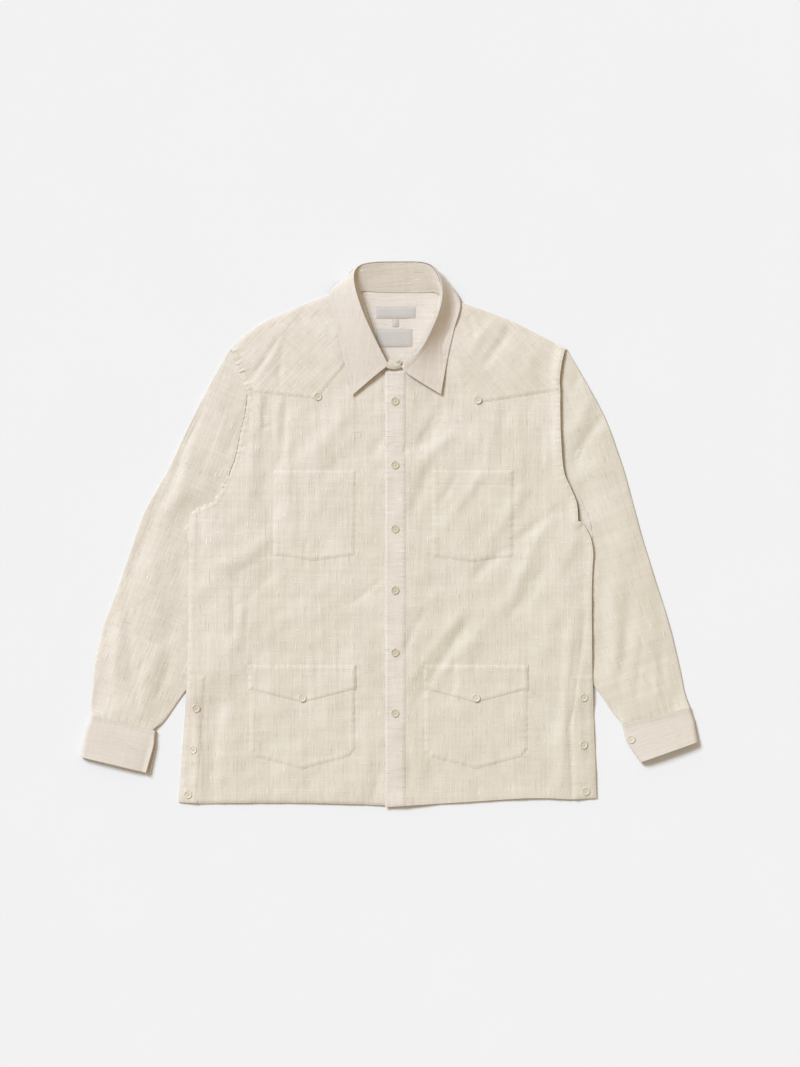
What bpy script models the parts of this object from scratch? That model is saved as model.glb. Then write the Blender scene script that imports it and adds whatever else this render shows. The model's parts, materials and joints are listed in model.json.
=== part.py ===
"""Camp shirt laid flat on its back: ecru slub cotton, long sleeves, western yokes, four pockets.

Frame: metres, +Z up. The cloth lies on the plane Z = 0. X runs across the shirt towards the wearer's
left sleeve, Y runs from the hem to the collar, and X = 0 is the line of the front buttons.
Right and left are the wearer's. The left front is buttoned over the right one.

Each panel is a Coons patch between four smooth edges, given its height by the way the layers lie.
What is sewn on a panel is cut from that panel's own surface and moved out by one layer of cloth.
"""

import math

import bmesh
import bpy
from mathutils import Vector
from mathutils.bvhtree import BVHTree

MM = 0.001

# Cloth and seams
WALL = 1.0 * MM  # a layer of cloth
STIFF_WALL = 1.3 * MM  # collar and cuffs, which are interlined
GAP = 0.3 * MM  # between a piece and what it is sewn to or lies on
LAYER = WALL + GAP  # rise from one layer to the next
SEAM = 0.5 * MM  # between panels that meet edge to edge

# Air in the garment
LOFT = 1.9 * MM  # the fronts' extra height over the back, away from the seams
PINCH = 38 * MM  # how far in from a seam the fronts reach that height
SLEEVE_TUCKED = 2.5 * MM  # height of a sleeve where the body lies on it
SLEEVE_PUFF = 3.2 * MM  # extra height where nothing lies on it
PUFF_START, PUFF_REACH = 10 * MM, 45 * MM  # how far outside the body it starts, and how far in from an edge it is full
EDGE_ROUND = 3.5 * MM  # half width of the round at a sleeve's fold

# Closures and trim
PLACKET_LEFT, PLACKET_RIGHT, PLACKET_TOP = -14.5 * MM, 15.2 * MM, 235 * MM
BUTTON_SIDES = 12
# A button's half section, from the middle of its dished top round its rim to the middle of its back: radius, height
BUTTON_SECTION = [(0, 1.5), (3.7, 1.5), (4.6, 2.2), (5.3, 2.1), (5.7, 1.4), (5.0, 0.2), (3.6, 0), (0, 0)]
BUTTON_RADIUS = max(radius for radius, height in BUTTON_SECTION) * MM
LABEL_WALL = 0.8 * MM

ACROSS_FRONT = 9  # columns of faces in a front
ACROSS_BACK = 16
ARMHOLE_STEPS = 8
YOKE_STEP = 4  # the armhole row at which the back yoke starts
LAP_OUT, LAP_RISE = 5 * MM, 2.3 * MM  # how the left front's armhole edge lies over its sleeve

# Side seam from hem to underarm, then the armhole from underarm to shoulder, in millimetres.
# x, y, rows of faces up to the next point
SIDE = {
    "right": [(-314, -390, 6), (-301, -206, 3), (-299, -110, 3), (-298, -25, 3), (-296.5, 30.5, 0)],
    "left": [
        (292, -384, 6), (286, -206, 4), (285, -80, 2), (287, -29, 1), (283, -6, 1), (271.5, 14.5, 1),
        (265.4, 17, 0),
    ],
}
ARMHOLE = {
    "right": [(-296.5, 30.5, 2), (-259, 51, 1), (-235, 100, 1), (-223, 151, 2), (-215, 207, 2), (-238, 266, 0)],
    "left": [
        (265.4, 17, 1), (263.5, 43.5, 1), (243, 90, 1), (236, 136, 1), (234.5, 180, 2), (237, 223, 2), (247, 267, 0),
    ],
}
# Shoulder from the armhole to the neck: x, y
SHOULDER = {
    "right": [(-238, 266), (-229, 277), (-192, 304), (-143, 326), (-96, 344), (-50, 353)],
    "left": [(247, 267), (205, 289), (162, 310), (94, 335), (64, 347)],
}
# Front edge and neckline from hem to shoulder: x, y, rows
FRONT_EDGE = {
    "right": [(15, -396, 6), (15, -206, 3), (15, -90, 3), (15, 0, 3), (15, 70, 4), (15, 236, 0)],
    "left": [(-14.5, -397, 6), (-14.5, -206, 3), (-14.5, -90, 3), (-14.5, 0, 3), (-14.5, 70, 4), (-14.5, 236, 0)],
}
NECKLINE = {
    "right": [(15, 236, 1), (-10, 243, 1), (-20, 262, 1), (-34, 300, 1), (-50, 353, 0)],
    "left": [(-14.5, 236, 1), (14, 242, 1), (34, 262, 1), (56, 300, 1), (64, 347, 0)],
}
BACK_NECK = [(-50, 353), (-25, 351), (7, 350.5), (40, 350), (64, 347)]
HEM = {
    "right": [(-314, -390), (-290, -392), (-200, -391), (-90, -392), (15, -396)],
    "left": [(292, -384), (250, -386), (200, -384), (100, -390), (-14.5, -397)],
}

# A sleeve from armhole to cuff, in millimetres. Its first ring is the armhole above its last SLEEVE_HEEL
# steps, and the next rings end on those steps, so that the rings fan round the underarm.
# outer x, outer y, inner x, inner y, rows to the next ring
SLEEVE_HEEL = 2
SLEEVE = {
    "right": [
        (-268, 217, 0, 0, 1), (-301, 151, 0, 0, 1), (-325, 100, -298.4, 3, 1), (-345, 64, -296, -28, 1),
        (-367, 22, -284, -60, 1), (-382, -22, -262, -90, 2), (-409, -98, -232, -132, 2), (-426, -146, -240, -164, 2),
        (-436.5, -196, -267, -197, 1), (-438.5, -228, -303, -229, 1), (-440.5, -254, -333, -271, 0),
    ],
    "left": [
        (277, 218, 0, 0, 1), (303, 170, 0, 0, 1), (319, 128, 275, 10, 1), (332, 90, 284.8, -12, 1),
        (341.5, 55, 283, -40, 1), (351.6, 18, 268, -72, 1), (360, -12, 250, -102, 2), (380, -76, 226, -134, 2),
        (399.5, -139, 234, -164, 2), (415.5, -208, 266, -197, 1), (419.5, -229, 294, -229, 1), (425, -247, 315, -260, 0),
    ],
}
# A cuff from its seam to its mouth: outer x, outer y, inner x, inner y, height, lean.
# Lean is how far the lower layer reaches past the upper one at the inner edge.
CUFF = {
    "right": [
        (-443, -262, -349, -286, 9.5, 6), (-449, -291, -356, -315, 10.5, 8), (-456, -324, -364, -346, 12.5, 10),
    ],
    "left": [
        (431, -252, 325, -277, 9.5, 0), (434.5, -277, 336.5, -304, 13, 0), (439, -302, 355, -332, 18, 0),
    ],
}
CUFF_COLUMNS = 9
CUFF_SHOULDER = 0.72  # a cuff's height beside its folds, as a share of its height
SLEEVE_INSET = 3.8 * MM  # how far inside the cuff's folds the sleeve ends

# Where the body rests on the tucked part of a sleeve: a capsule from (x, y low) to (x, y high), in millimetres.
TUCK = {"right": (-304, -154, -72), "left": (294, -154, -67)}
TUCK_FULL, TUCK_NONE = 76 * MM, 104 * MM  # full lift inside the first radius, none past the second
TUCK_LIFT = SLEEVE_TUCKED + 0.5 * MM

# The largest folds of the fronts: x0, y0, x1, y1, half width, height, all in millimetres.
FOLDS = [
    (-173, 190, -183, 30, 30, -1.2),  # hollow from the right yoke to the chest pocket
    (-185, -20, -285, -110, 34, -1.1),  # and on to the side seam
    (-120, 150, -70, 60, 45, 1.1),  # rise between the hollow and the placket
    (-150, -60, -40, -100, 38, 0.9),
    (255, 40, 150, -85, 26, 1.4),  # long drag folds from the left underarm to the lowest button
    (150, -85, 60, -190, 26, 1.3),
    (225, 0, 100, -150, 24, -1.2),
    (100, -150, 25, -245, 22, -1.2),
    (160, 60, 40, -60, 30, 1.0),
    (70, 175, 5, 115, 24, -1.0),  # pull from the left collar point
    (200, 230, 110, 290, 34, 0.9),
    (-222, -90, -222, -190, 20, 0.9),  # over the edge of the tucked sleeve
    (-290, -215, -262, -275, 20, -1.2),  # beside the right vent
    (-262, -275, -258, -360, 18, -0.9),
    (243, -235, 246, -385, 17, 1.6),  # beside the left vent
    (222, -240, 224, -385, 17, -1.0),
    (-150, -345, -20, -365, 30, 0.8),
    (40, -355, 190, -370, 26, -0.7),
]

# Collar, round the neck from the right front to the left front, in millimetres.
# seam x, seam y, roll x, roll y, roll height, edge x, edge y, edge height
COLLAR = [
    (-10, 240, -8.5, 242, 11.0, -62.5, 199, 7.6),
    (-17, 256, -21, 266, 14.0, -68, 226, 7.4),
    (-29, 286, -40, 305, 18.0, -77, 263, 7.2),
    (-41, 322, -53, 340, 20.0, -88, 314, 6.8),
    (-48, 344, -59, 368, 19.0, -96, 347, 5.4),
    (-40, 350, -53, 385, 16.0, -66, 368, 3.0),
    (-22, 349.5, -28, 391, 14.0, -32, 360, 2.0),
    (7, 349, 7, 391.5, 13.5, 7, 358, 1.9),
    (38, 348.5, 40, 391, 14.5, 45, 360, 2.0),
    (55, 347, 58, 381, 18.0, 72, 362, 3.0),
    (63, 339, 68, 352, 24.0, 95, 336, 5.4),
    (62, 323, 65, 325, 26.0, 87, 305, 6.8),
    (55, 299, 55, 299, 24.0, 79, 272, 7.2),
    (42, 275, 42, 273, 19.0, 73, 240, 7.4),
    (28, 256, 26, 253, 15.0, 69, 216, 7.6),
    (14, 240, 11, 239, 12.0, 66.4, 201, 7.8),
]
# The stand runs on past the leaves to its overlapping ends: seam x, seam y, top x, top y, seam height, top height
STAND_ENDS = [(9, 242.5, 8, 252, 5.0, 8.6), (-8, 241, -8, 252, 8.9, 12.4)]
ROLL_GAP, ROLL_RISE, ROLL_BEND = 0.6 * MM, 3 * MM, 6 * MM  # how the leaf turns over the stand's upper edge
LEAF_COLUMNS, STAND_COLUMNS = 4, 2
NECK_SEAM = 7 * MM  # width of cloth under the collar's seam
NECK_CENTRE = Vector((0.004, 0.312))

# Patch pockets: left x, right x, top y, corner y, point y, corner cut, in millimetres
POCKETS = {
    "chest_pocket_right": (-176, -58, 91, -32, -40, 2),
    "chest_pocket_left": (54, 171, 91, -34, -42, 2),
    "hip_pocket_right": (-211, -58, -194, -322, -342, 9),
    "hip_pocket_left": (43, 192, -194, -322, -342, 9),
}
FLAP_ABOVE, FLAP_SIDE, FLAP_POINT, FLAP_WIDER = 3 * MM, 36 * MM, 56 * MM, 1.5 * MM

# Front yokes: the lower edge from the armhole to its buttoned point, then up to the neck, in millimetres
YOKE = {
    "right": ((-216, 205), (-113, 194), (-62, 256)),
    "left": ((240, 207), (120, 188), (73, 256)),
}
# Bands of the side vents: inner edge at the top of the vent, inner edge at the hem
VENT_TOP = -206
VENT_BAND = {"right": ((-275, VENT_TOP), (-288, -400)), "left": ((252, VENT_TOP), (260, -400))}

FRONT_BUTTONS_Y = (191, 98.5, 6, -83, -173, -261)
FRONT_BUTTON_X = 0
YOKE_BUTTONS = {"right": (-112, 198), "left": (120, 193)}
FLAP_BUTTON_UP = 8  # from the flap's point to its button's centre
VENT_BUTTONS = {
    "right": [(-288.5, -254), (-292.5, -314), (-300, -379)],
    "left": [(273.5, -238), (273, -307), (276.5, -374)],
}
CUFF_BUTTON = (342, -299)  # it shows on the left cuff only

# Labels sewn to the inside of the back yoke, left bare: centre x, centre y, width, height
LABELS = {"label_neck": (1, 320, 57, 17), "label_size": (0.5, 304.5, 10, 11), "label_fabric": (-1, 283, 52, 26)}

CREAM = (0.78, 0.70, 0.58)
MATERIALS = {
    "cloth": (*CREAM, 0.85),
    "button": (0.80, 0.74, 0.60, 0.35),
    "label": (0.74, 0.73, 0.71, 0.8),
}


# --- small tools ---------------------------------------------------------------------------------


def smoothstep(t):
    """0 below t = 0, 1 above t = 1, and an even rise between them."""
    t = min(1.0, max(0.0, t))
    return t * t * (3 - 2 * t)


def plan(row):
    """The point of a table row's first two columns, in metres."""
    return Vector((row[0] * MM, row[1] * MM))


def cubic(p0, p1, p2, p3, t):
    """A point of the Catmull-Rom curve between p1 and p2."""
    return 0.5 * (
        2 * p1 + (p2 - p0) * t + (2 * p0 - 5 * p1 + 4 * p2 - p3) * t**2 + (3 * p1 - p0 - 3 * p2 + p3) * t**3
    )


def smooth(points, steps):
    """Points on a smooth curve through `points`, with steps[i] intervals after points[i]."""
    ends = [2 * points[0] - points[1], *points, 2 * points[-1] - points[-2]]
    curve = []
    for i, count in enumerate(steps):
        curve += [cubic(*ends[i : i + 4], k / count) for k in range(count)]
    return [*curve, points[-1].copy()]


def edge_of(table):
    """A smooth edge from a table whose last column is the rows to the next point."""
    return smooth([plan(row) for row in table], [row[-1] for row in table[:-1]])


def spread(table, count):
    """`count` + 1 points evenly spaced along the smooth curve through a table."""
    dense = smooth([plan(row) for row in table], [12] * (len(table) - 1))
    length = [0.0]
    for a, b in zip(dense, dense[1:]):
        length.append(length[-1] + (b - a).length)
    points, k = [], 0
    for i in range(count + 1):
        target = length[-1] * i / count
        while k < len(length) - 2 and length[k + 1] < target:
            k += 1
        share = (target - length[k]) / (length[k + 1] - length[k])
        points.append(dense[k].lerp(dense[k + 1], share))
    return points


def coons(bottom, top, start, end):
    """A grid of points between four edges, rows running from `start` to `end`."""
    grid = []
    for j, (left, right) in enumerate(zip(start, end)):
        v = j / (len(start) - 1)
        row = []
        for i, (low, high) in enumerate(zip(bottom, top)):
            u = i / (len(bottom) - 1)
            ruled = low.lerp(high, v) + left.lerp(right, u)
            row.append(ruled - bottom[0].lerp(bottom[-1], u).lerp(top[0].lerp(top[-1], u), v))
        grid.append(row)
    return grid


# --- heights of the layers -----------------------------------------------------------------------


def lift(point):
    """How high the body lies on the tucked sleeves at a plan point."""
    height = 0.0
    for x, low, high in TUCK.values():
        nearest = Vector((x * MM, min(high * MM, max(low * MM, point.y))))
        away = (point - nearest).length
        height += TUCK_LIFT * smoothstep((TUCK_NONE - away) / (TUCK_NONE - TUCK_FULL))
    return height


def folds(point):
    """The fronts' largest folds: soft ridges and hollows that fade out at both ends."""
    height = 0.0
    for x0, y0, x1, y1, half_width, rise in FOLDS:
        start, run = plan((x0, y0)), plan((x1 - x0, y1 - y0))
        share = (point - start).dot(run) / run.length_squared
        off = (point - start - run * share).length
        fade = smoothstep((share + 0.25) / 0.5) * smoothstep((1.25 - share) / 0.5)
        height += rise * MM * fade * smoothstep(1 - off / (2 * half_width * MM))
    return height


def cloth_top(skins, at, reach):
    """The highest cloth top within `reach` of a plan point. `skins` pairs a panel's tree with the layers over it."""
    spots = [at] + [
        at + Vector((math.cos(k * math.pi / 4), math.sin(k * math.pi / 4))) * size
        for k in range(8)
        for size in (reach, reach / 2)
    ]
    top = WALL
    for tree, layers in skins:
        for spot in spots:
            hit = tree.ray_cast(spot.to_3d() + Vector((0, 0, 0.1)), Vector((0, 0, -1)))[0]
            if hit:
                top = max(top, hit.z + WALL + layers * LAYER)
    return top


# --- making objects ------------------------------------------------------------------------------


def material(name):
    """A plain Principled material, made once."""
    found = bpy.data.materials.get(name)
    if found:
        return found
    red, green, blue, roughness = MATERIALS[name]
    made = bpy.data.materials.new(name)
    made.use_nodes = True
    shader = made.node_tree.nodes["Principled BSDF"]
    shader.inputs["Base Color"].default_value = (red, green, blue, 1)
    shader.inputs["Roughness"].default_value = roughness
    return made


def add_object(name, mesh_data, collection, slot="cloth"):
    mesh_data.materials.append(material(slot))
    made = bpy.data.objects.new(name, mesh_data)
    collection.objects.link(made)
    return made


def solidify(made, wall, inwards=False):
    """Gives an open surface its wall, on the side that its faces look to or away from it."""
    modifier = made.modifiers.new("wall", "SOLIDIFY")
    modifier.thickness = wall
    modifier.offset = -1 if inwards else 1
    modifier.use_even_offset = True
    return made


def surface(grid, closed=False):
    """A bmesh of the faces between the points of a grid. `closed` joins each row's end to its start."""
    made = bmesh.new()
    rows = [[made.verts.new(p) for p in row] for row in grid]
    for low, high in zip(rows, rows[1:]):
        count = len(low) if closed else len(low) - 1
        for i in range(count):
            k = (i + 1) % len(low)
            made.faces.new((low[i], low[k], high[k], high[i]))
    made.normal_update()
    return made


def look_up(made):
    """Turns a panel's faces so that they look up."""
    if sum(face.normal.z * face.calc_area() for face in made.faces) < 0:
        bmesh.ops.reverse_faces(made, faces=made.faces)
    return made


def to_mesh(name, made):
    mesh_data = bpy.data.meshes.new(name)
    made.to_mesh(mesh_data)
    mesh_data.shade_smooth()
    return mesh_data


def clipped(panel, outline, layers):
    """The part of a panel inside a convex outline, moved out by whole layers of cloth."""
    piece = panel.copy()
    middle = sum(outline, Vector((0, 0))) / len(outline)
    for a, b in zip(outline, outline[1:] + outline[:1]):
        across = Vector((b.y - a.y, a.x - b.x))
        if across.dot(middle - a) > 0:
            across.negate()
        bmesh.ops.bisect_plane(
            piece,
            geom=piece.verts[:] + piece.edges[:] + piece.faces[:],
            plane_co=a.to_3d(),
            plane_no=across.to_3d(),
            clear_outer=True,
            dist=1e-6,
        )
    bmesh.ops.translate(piece, verts=piece.verts, vec=(0, 0, layers * LAYER))
    bmesh.ops.remove_doubles(piece, verts=piece.verts, dist=0.02 * MM)
    return piece


def sewn_on(name, panel, outline, layers, collection, wall=WALL, slot="cloth"):
    """A patch cut from the panel's own surface, so that it follows every face under it."""
    piece = clipped(panel, outline, layers)
    made = solidify(add_object(name, to_mesh(name, piece), collection, slot), wall)
    piece.free()
    return made


# --- the body ------------------------------------------------------------------------------------


def side_edges(side):
    """The side seam and the armhole, as two lists of plan points that share the underarm."""
    return edge_of(SIDE[side]), edge_of(ARMHOLE[side])


def towards(edge, outwards, amount):
    """An edge moved across itself: `amount(i)` metres to the side given by `outwards`, +1 or -1 in X."""
    moved = []
    for i, point in enumerate(edge):
        before, after = edge[max(0, i - 1)], edge[min(len(edge) - 1, i + 1)]
        across = Vector((after.y - before.y, before.x - after.x)).normalized()
        if across.x * outwards < 0:
            across.negate()
        moved.append(point + across * amount(i))
    return moved


def back_panels(collection):
    """The back below its yoke, and the back yoke up to the shoulders and the neck."""
    outer = {}
    for side, outwards in (("right", -1), ("left", 1)):
        seam, armhole = side_edges(side)
        armhole = towards(armhole, outwards, lambda i: -SEAM / 2 if i else 0)
        outer[side] = seam + armhole[1:]
    split = len(outer["right"]) - 1 - ARMHOLE_STEPS + YOKE_STEP

    def straight(row, count, rise=0.0):
        left_end, right_end = outer["right"][row], outer["left"][row]
        shift = Vector((0, rise))
        return [left_end.lerp(right_end, i / count) + shift for i in range(count + 1)]

    hem_line = HEM["right"][:-1] + HEM["left"][:-1][::-1]
    bottom = spread(hem_line, ACROSS_BACK)
    low = coons(bottom, straight(split, ACROSS_BACK), outer["right"][: split + 1], outer["left"][: split + 1])

    top_line = SHOULDER["right"] + BACK_NECK[1:-1] + SHOULDER["left"][::-1]
    start, end = outer["right"][split:], outer["left"][split:]
    top = spread(top_line, ACROSS_BACK)
    top[0], top[-1] = start[-1], end[-1]
    high = coons(straight(split, ACROSS_BACK), top, start, end)
    for row in high[:1]:
        for point in row:
            point.y += SEAM

    panels = {}
    for name, grid in (("back", low), ("back_yoke", high)):
        made = look_up(surface([[p.to_3d() + Vector((0, 0, lift(p))) for p in row] for row in grid]))
        solidify(add_object(name, to_mesh(name, made), collection), WALL)
        panels[name] = made
    return panels


def front_panel(side, collection):
    """One front, from the hem to the shoulder. The left one lies over the right one at the middle."""
    outwards = -1 if side == "right" else 1
    seam, armhole = side_edges(side)

    def lap(i):
        return math.sin(math.pi * i / ARMHOLE_STEPS) if side == "left" else 0.0

    armhole = towards(
        armhole, outwards, lambda i: LAP_OUT * smoothstep(2 * lap(i) - 1) - (SEAM / 2 if i else 0)
    )
    outer = seam + armhole[1:]
    inner = edge_of(FRONT_EDGE[side]) + edge_of(NECKLINE[side])[1:]
    bottom, top = spread(HEM[side], ACROSS_FRONT), spread(SHOULDER[side], ACROSS_FRONT)
    bottom[0], bottom[-1], top[0], top[-1] = outer[0], inner[0], outer[-1], inner[-1]
    grid = coons(bottom, top, outer, inner)

    first_armhole = len(seam) - 1
    rows = []
    for j, row in enumerate(grid):
        rise_share = smoothstep(2 * lap(j - first_armhole)) if j >= first_armhole else 0.0
        points = []
        for i, p in enumerate(row):
            from_seam = min((p - row[0]).length, (p - grid[-1][i]).length)
            over = 0.0
            if side == "left":
                over = (WALL + 2 * GAP) * smoothstep((45 * MM - p.x) / (25 * MM))
            pinch = smoothstep(from_seam / PINCH)
            lapped = LAP_RISE * rise_share * smoothstep(1 - (p - row[0]).length / (30 * MM))
            z = lift(p) + LAYER + pinch * (LOFT + folds(p)) + over + lapped
            points.append(p.to_3d() + Vector((0, 0, z)))
        rows.append(points)
    name = f"front_{side}"
    made = look_up(surface(rows))
    solidify(add_object(name, to_mesh(name, made), collection), WALL)
    return made


# --- what is sewn on the body --------------------------------------------------------------------


def pocket_outline(left, right, top, corner, point, cut):
    """A patch pocket: straight top and sides, cut corners and a shallow point."""
    middle = (left + right) / 2
    slope = (corner - point) / (middle - left)
    outline = [
        (left, top), (right, top), (right, corner + cut), (right - cut, corner - cut * slope),
        (middle, point), (left + cut, corner - cut * slope), (left, corner + cut),
    ]
    return [plan(p) for p in outline]


def flap_outline(left, right, top):
    """A pocket flap: a little wider than its pocket, and pointed like it."""
    left, right, top = left * MM - FLAP_WIDER, right * MM + FLAP_WIDER, top * MM + FLAP_ABOVE
    middle = (left + right) / 2
    outline = [
        (left, top), (right, top), (right, top - FLAP_SIDE), (middle, top - FLAP_POINT), (left, top - FLAP_SIDE),
    ]
    return [Vector(p) for p in outline]


def pockets_and_flaps(fronts, collection):
    for name, sizes in POCKETS.items():
        side = name.split("_")[-1]
        sewn_on(name, fronts[side], pocket_outline(*sizes), 1, collection)
        if name.startswith("hip"):
            left, right, top = sizes[:3]
            sewn_on(f"hip_flap_{side}", fronts[side], flap_outline(left, right, top), 2, collection)


def yokes(fronts, collection):
    """A front yoke covers its front from the shoulder down to a buttoned point."""
    for side, (armhole_end, tip, neck_end) in YOKE.items():
        sign = -1 if side == "right" else 1
        far, above = 330 * sign, 420
        armhole_far = (far, armhole_end[1] + (far - armhole_end[0]) * (armhole_end[1] - tip[1]) / (armhole_end[0] - tip[0]))
        rise = (neck_end[1] - tip[1]) / (neck_end[0] - tip[0])
        neck_far = (tip[0] + (above - tip[1]) / rise, above)
        outline = [plan(p) for p in (armhole_far, tip, neck_far, (far, above))]
        sewn_on(f"yoke_{side}", fronts[side], outline, 1, collection)


def bands(fronts, collection):
    """The front placket, and the buttoned bands of the side vents."""
    low = -420 * MM
    placket = [(PLACKET_LEFT - MM, low), (PLACKET_RIGHT, low), (PLACKET_RIGHT, PLACKET_TOP), (PLACKET_LEFT - MM, PLACKET_TOP)]
    sewn_on("placket", fronts["left"], [Vector(p) for p in placket], 1, collection)
    for side, (top, hem) in VENT_BAND.items():
        far = 340 * (-1 if side == "right" else 1)
        outline = [plan(p) for p in (top, hem, (far, hem[1]), (far, VENT_TOP))]
        sewn_on(f"vent_band_{side}", fronts[side], outline, 1, collection)


def labels(back_yoke, collection):
    for name, (x, y, width, height) in LABELS.items():
        corners = ((-1, 1), (1, 1), (1, -1), (-1, -1))
        outline = [plan((x + sx * width / 2, y + sy * height / 2)) for sx, sy in corners]
        sewn_on(name, back_yoke, outline, 1, collection, LABEL_WALL, "label")


# --- sleeves and cuffs ---------------------------------------------------------------------------


def ring(path, top, low, lean=0.0):
    """A closed section of a flattened tube over a plan path. `top` and `low` give heights at a plan point.

    It runs over the top from the path's start to its end, and back underneath. `lean` moves the end's fold
    and the lower layer's last point on past the upper layer."""
    start, end = path[0], path[-1]
    first, last = (path[1] - start).normalized(), (end - path[-2]).normalized()
    upper = [start + first * EDGE_ROUND, *path[1:-1], end - last * EDGE_ROUND]
    lower = [start + first * EDGE_ROUND, *path[1:-1], end + last * (lean - EDGE_ROUND)]
    fold = end + last * lean

    def middle(p):
        return (top(p) + low(p)) / 2 if not lean else low(p) + 2.6 * MM

    points = [start.to_3d() + Vector((0, 0, (top(start) + low(start)) / 2))]
    points += [p.to_3d() + Vector((0, 0, top(p))) for p in upper]
    points.append(fold.to_3d() + Vector((0, 0, middle(end))))
    points += [p.to_3d() + Vector((0, 0, low(p))) for p in reversed(lower)]
    return points


def tube(name, rings, wall, collection):
    """A cloth tube through closed rings, its wall laid inwards."""
    made = surface(rings, closed=True)
    middle = sum((v.co for v in made.verts), Vector()) / len(made.verts)
    face = max(made.faces, key=lambda f: f.calc_center_median().z)
    if face.normal.dot(face.calc_center_median() - middle) < 0:
        bmesh.ops.reverse_faces(made, faces=made.faces)
    solid = solidify(add_object(name, to_mesh(name, made), collection), wall, inwards=True)
    made.free()
    return solid


def sleeve(side, collection):
    """A sleeve from the armhole, partly under the body, to the cuff that it ends in."""
    outwards = -1 if side == "right" else 1
    seam, armhole = side_edges(side)
    edge = seam + armhole[1:]
    mouth = towards(armhole, outwards, lambda i: SEAM * (2 if i < SLEEVE_HEEL else 0.5))
    heel, mouth = mouth[: SLEEVE_HEEL][::-1], mouth[SLEEVE_HEEL:][::-1]
    mouth[0] = mouth[0] + Vector((outwards * SEAM, SEAM)) * 2
    columns = len(mouth) - 1

    def outside(p):
        """How far a point lies outside the body's edge, measured across the shirt."""
        for a, b in zip(edge, edge[1:]):
            if min(a.y, b.y) <= p.y <= max(a.y, b.y) and a.y != b.y:
                return (p.x - a.lerp(b, (p.y - a.y) / (b.y - a.y)).x) * outwards
        return PUFF_REACH

    table = SLEEVE[side]
    steps = [row[-1] for row in table[:-1]]
    outer = smooth([mouth[0], *(plan(row) for row in table)], [1, *steps])[1:]
    inner = heel + smooth([plan(row[2:4]) for row in table[SLEEVE_HEEL:]], steps[SLEEVE_HEEL:])

    def chord(a, b):
        return [a.lerp(b, i / columns) for i in range(columns + 1)]

    def armhole_top(p):
        return lift(p) + LAYER + WALL

    rings = [ring(mouth, armhole_top, lift)]
    bulge = [m - c for m, c in zip(mouth, chord(mouth[0], mouth[-1]))]
    for k, (a, b) in enumerate(zip(outer, inner)):
        share = 0.45 ** (k + 1) if k < 3 else 0
        path = [p + off * share for p, off in zip(chord(a, b), bulge)]

        def top(p, a=a, b=b):
            room = min(outside(p) - PUFF_START, (p - a).length, (p - b).length * 1.4)
            return SLEEVE_TUCKED + SLEEVE_PUFF * smoothstep(room / PUFF_REACH)

        rings.append(ring(path, top, lambda p: 0.0))

    # Its end is held in the cuff, clear of the cuff's wall all round.
    first, second = CUFF[side][:2]
    for share in (-0.06, 0.35):
        a, b = plan(first).lerp(plan(second), share), plan(first[2:4]).lerp(plan(second[2:4]), share)
        across = (b - a).normalized()
        a, b = a + across * SLEEVE_INSET, b - across * (SLEEVE_INSET - 0.6 * first[5] * MM)
        held = STIFF_WALL + GAP
        rings.append(ring(chord(a, b), lambda p: first[4] * MM * CUFF_SHOULDER - held, lambda p: held))
    return tube(f"sleeve_{side}", rings, WALL, collection)


def cuff(side, collection):
    """A cuff: a stiff tube that stands open at its mouth and holds the end of the sleeve."""
    rings = []
    for outer_x, outer_y, inner_x, inner_y, height, lean in CUFF[side]:
        a, b = plan((outer_x, outer_y)), plan((inner_x, inner_y))
        path = [a.lerp(b, i / CUFF_COLUMNS) for i in range(CUFF_COLUMNS + 1)]

        def top(p, a=a, b=b, height=height):
            across = (p - a).length / (b - a).length
            round_off = 1 - (2 * across - 1) ** 6
            return (CUFF_SHOULDER + (1 - CUFF_SHOULDER) * round_off) * height * MM

        rings.append(ring(path, top, lambda p: 0.0, lean * MM))
    return tube(f"cuff_{side}", rings, STIFF_WALL, collection)


# --- collar --------------------------------------------------------------------------------------


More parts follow.
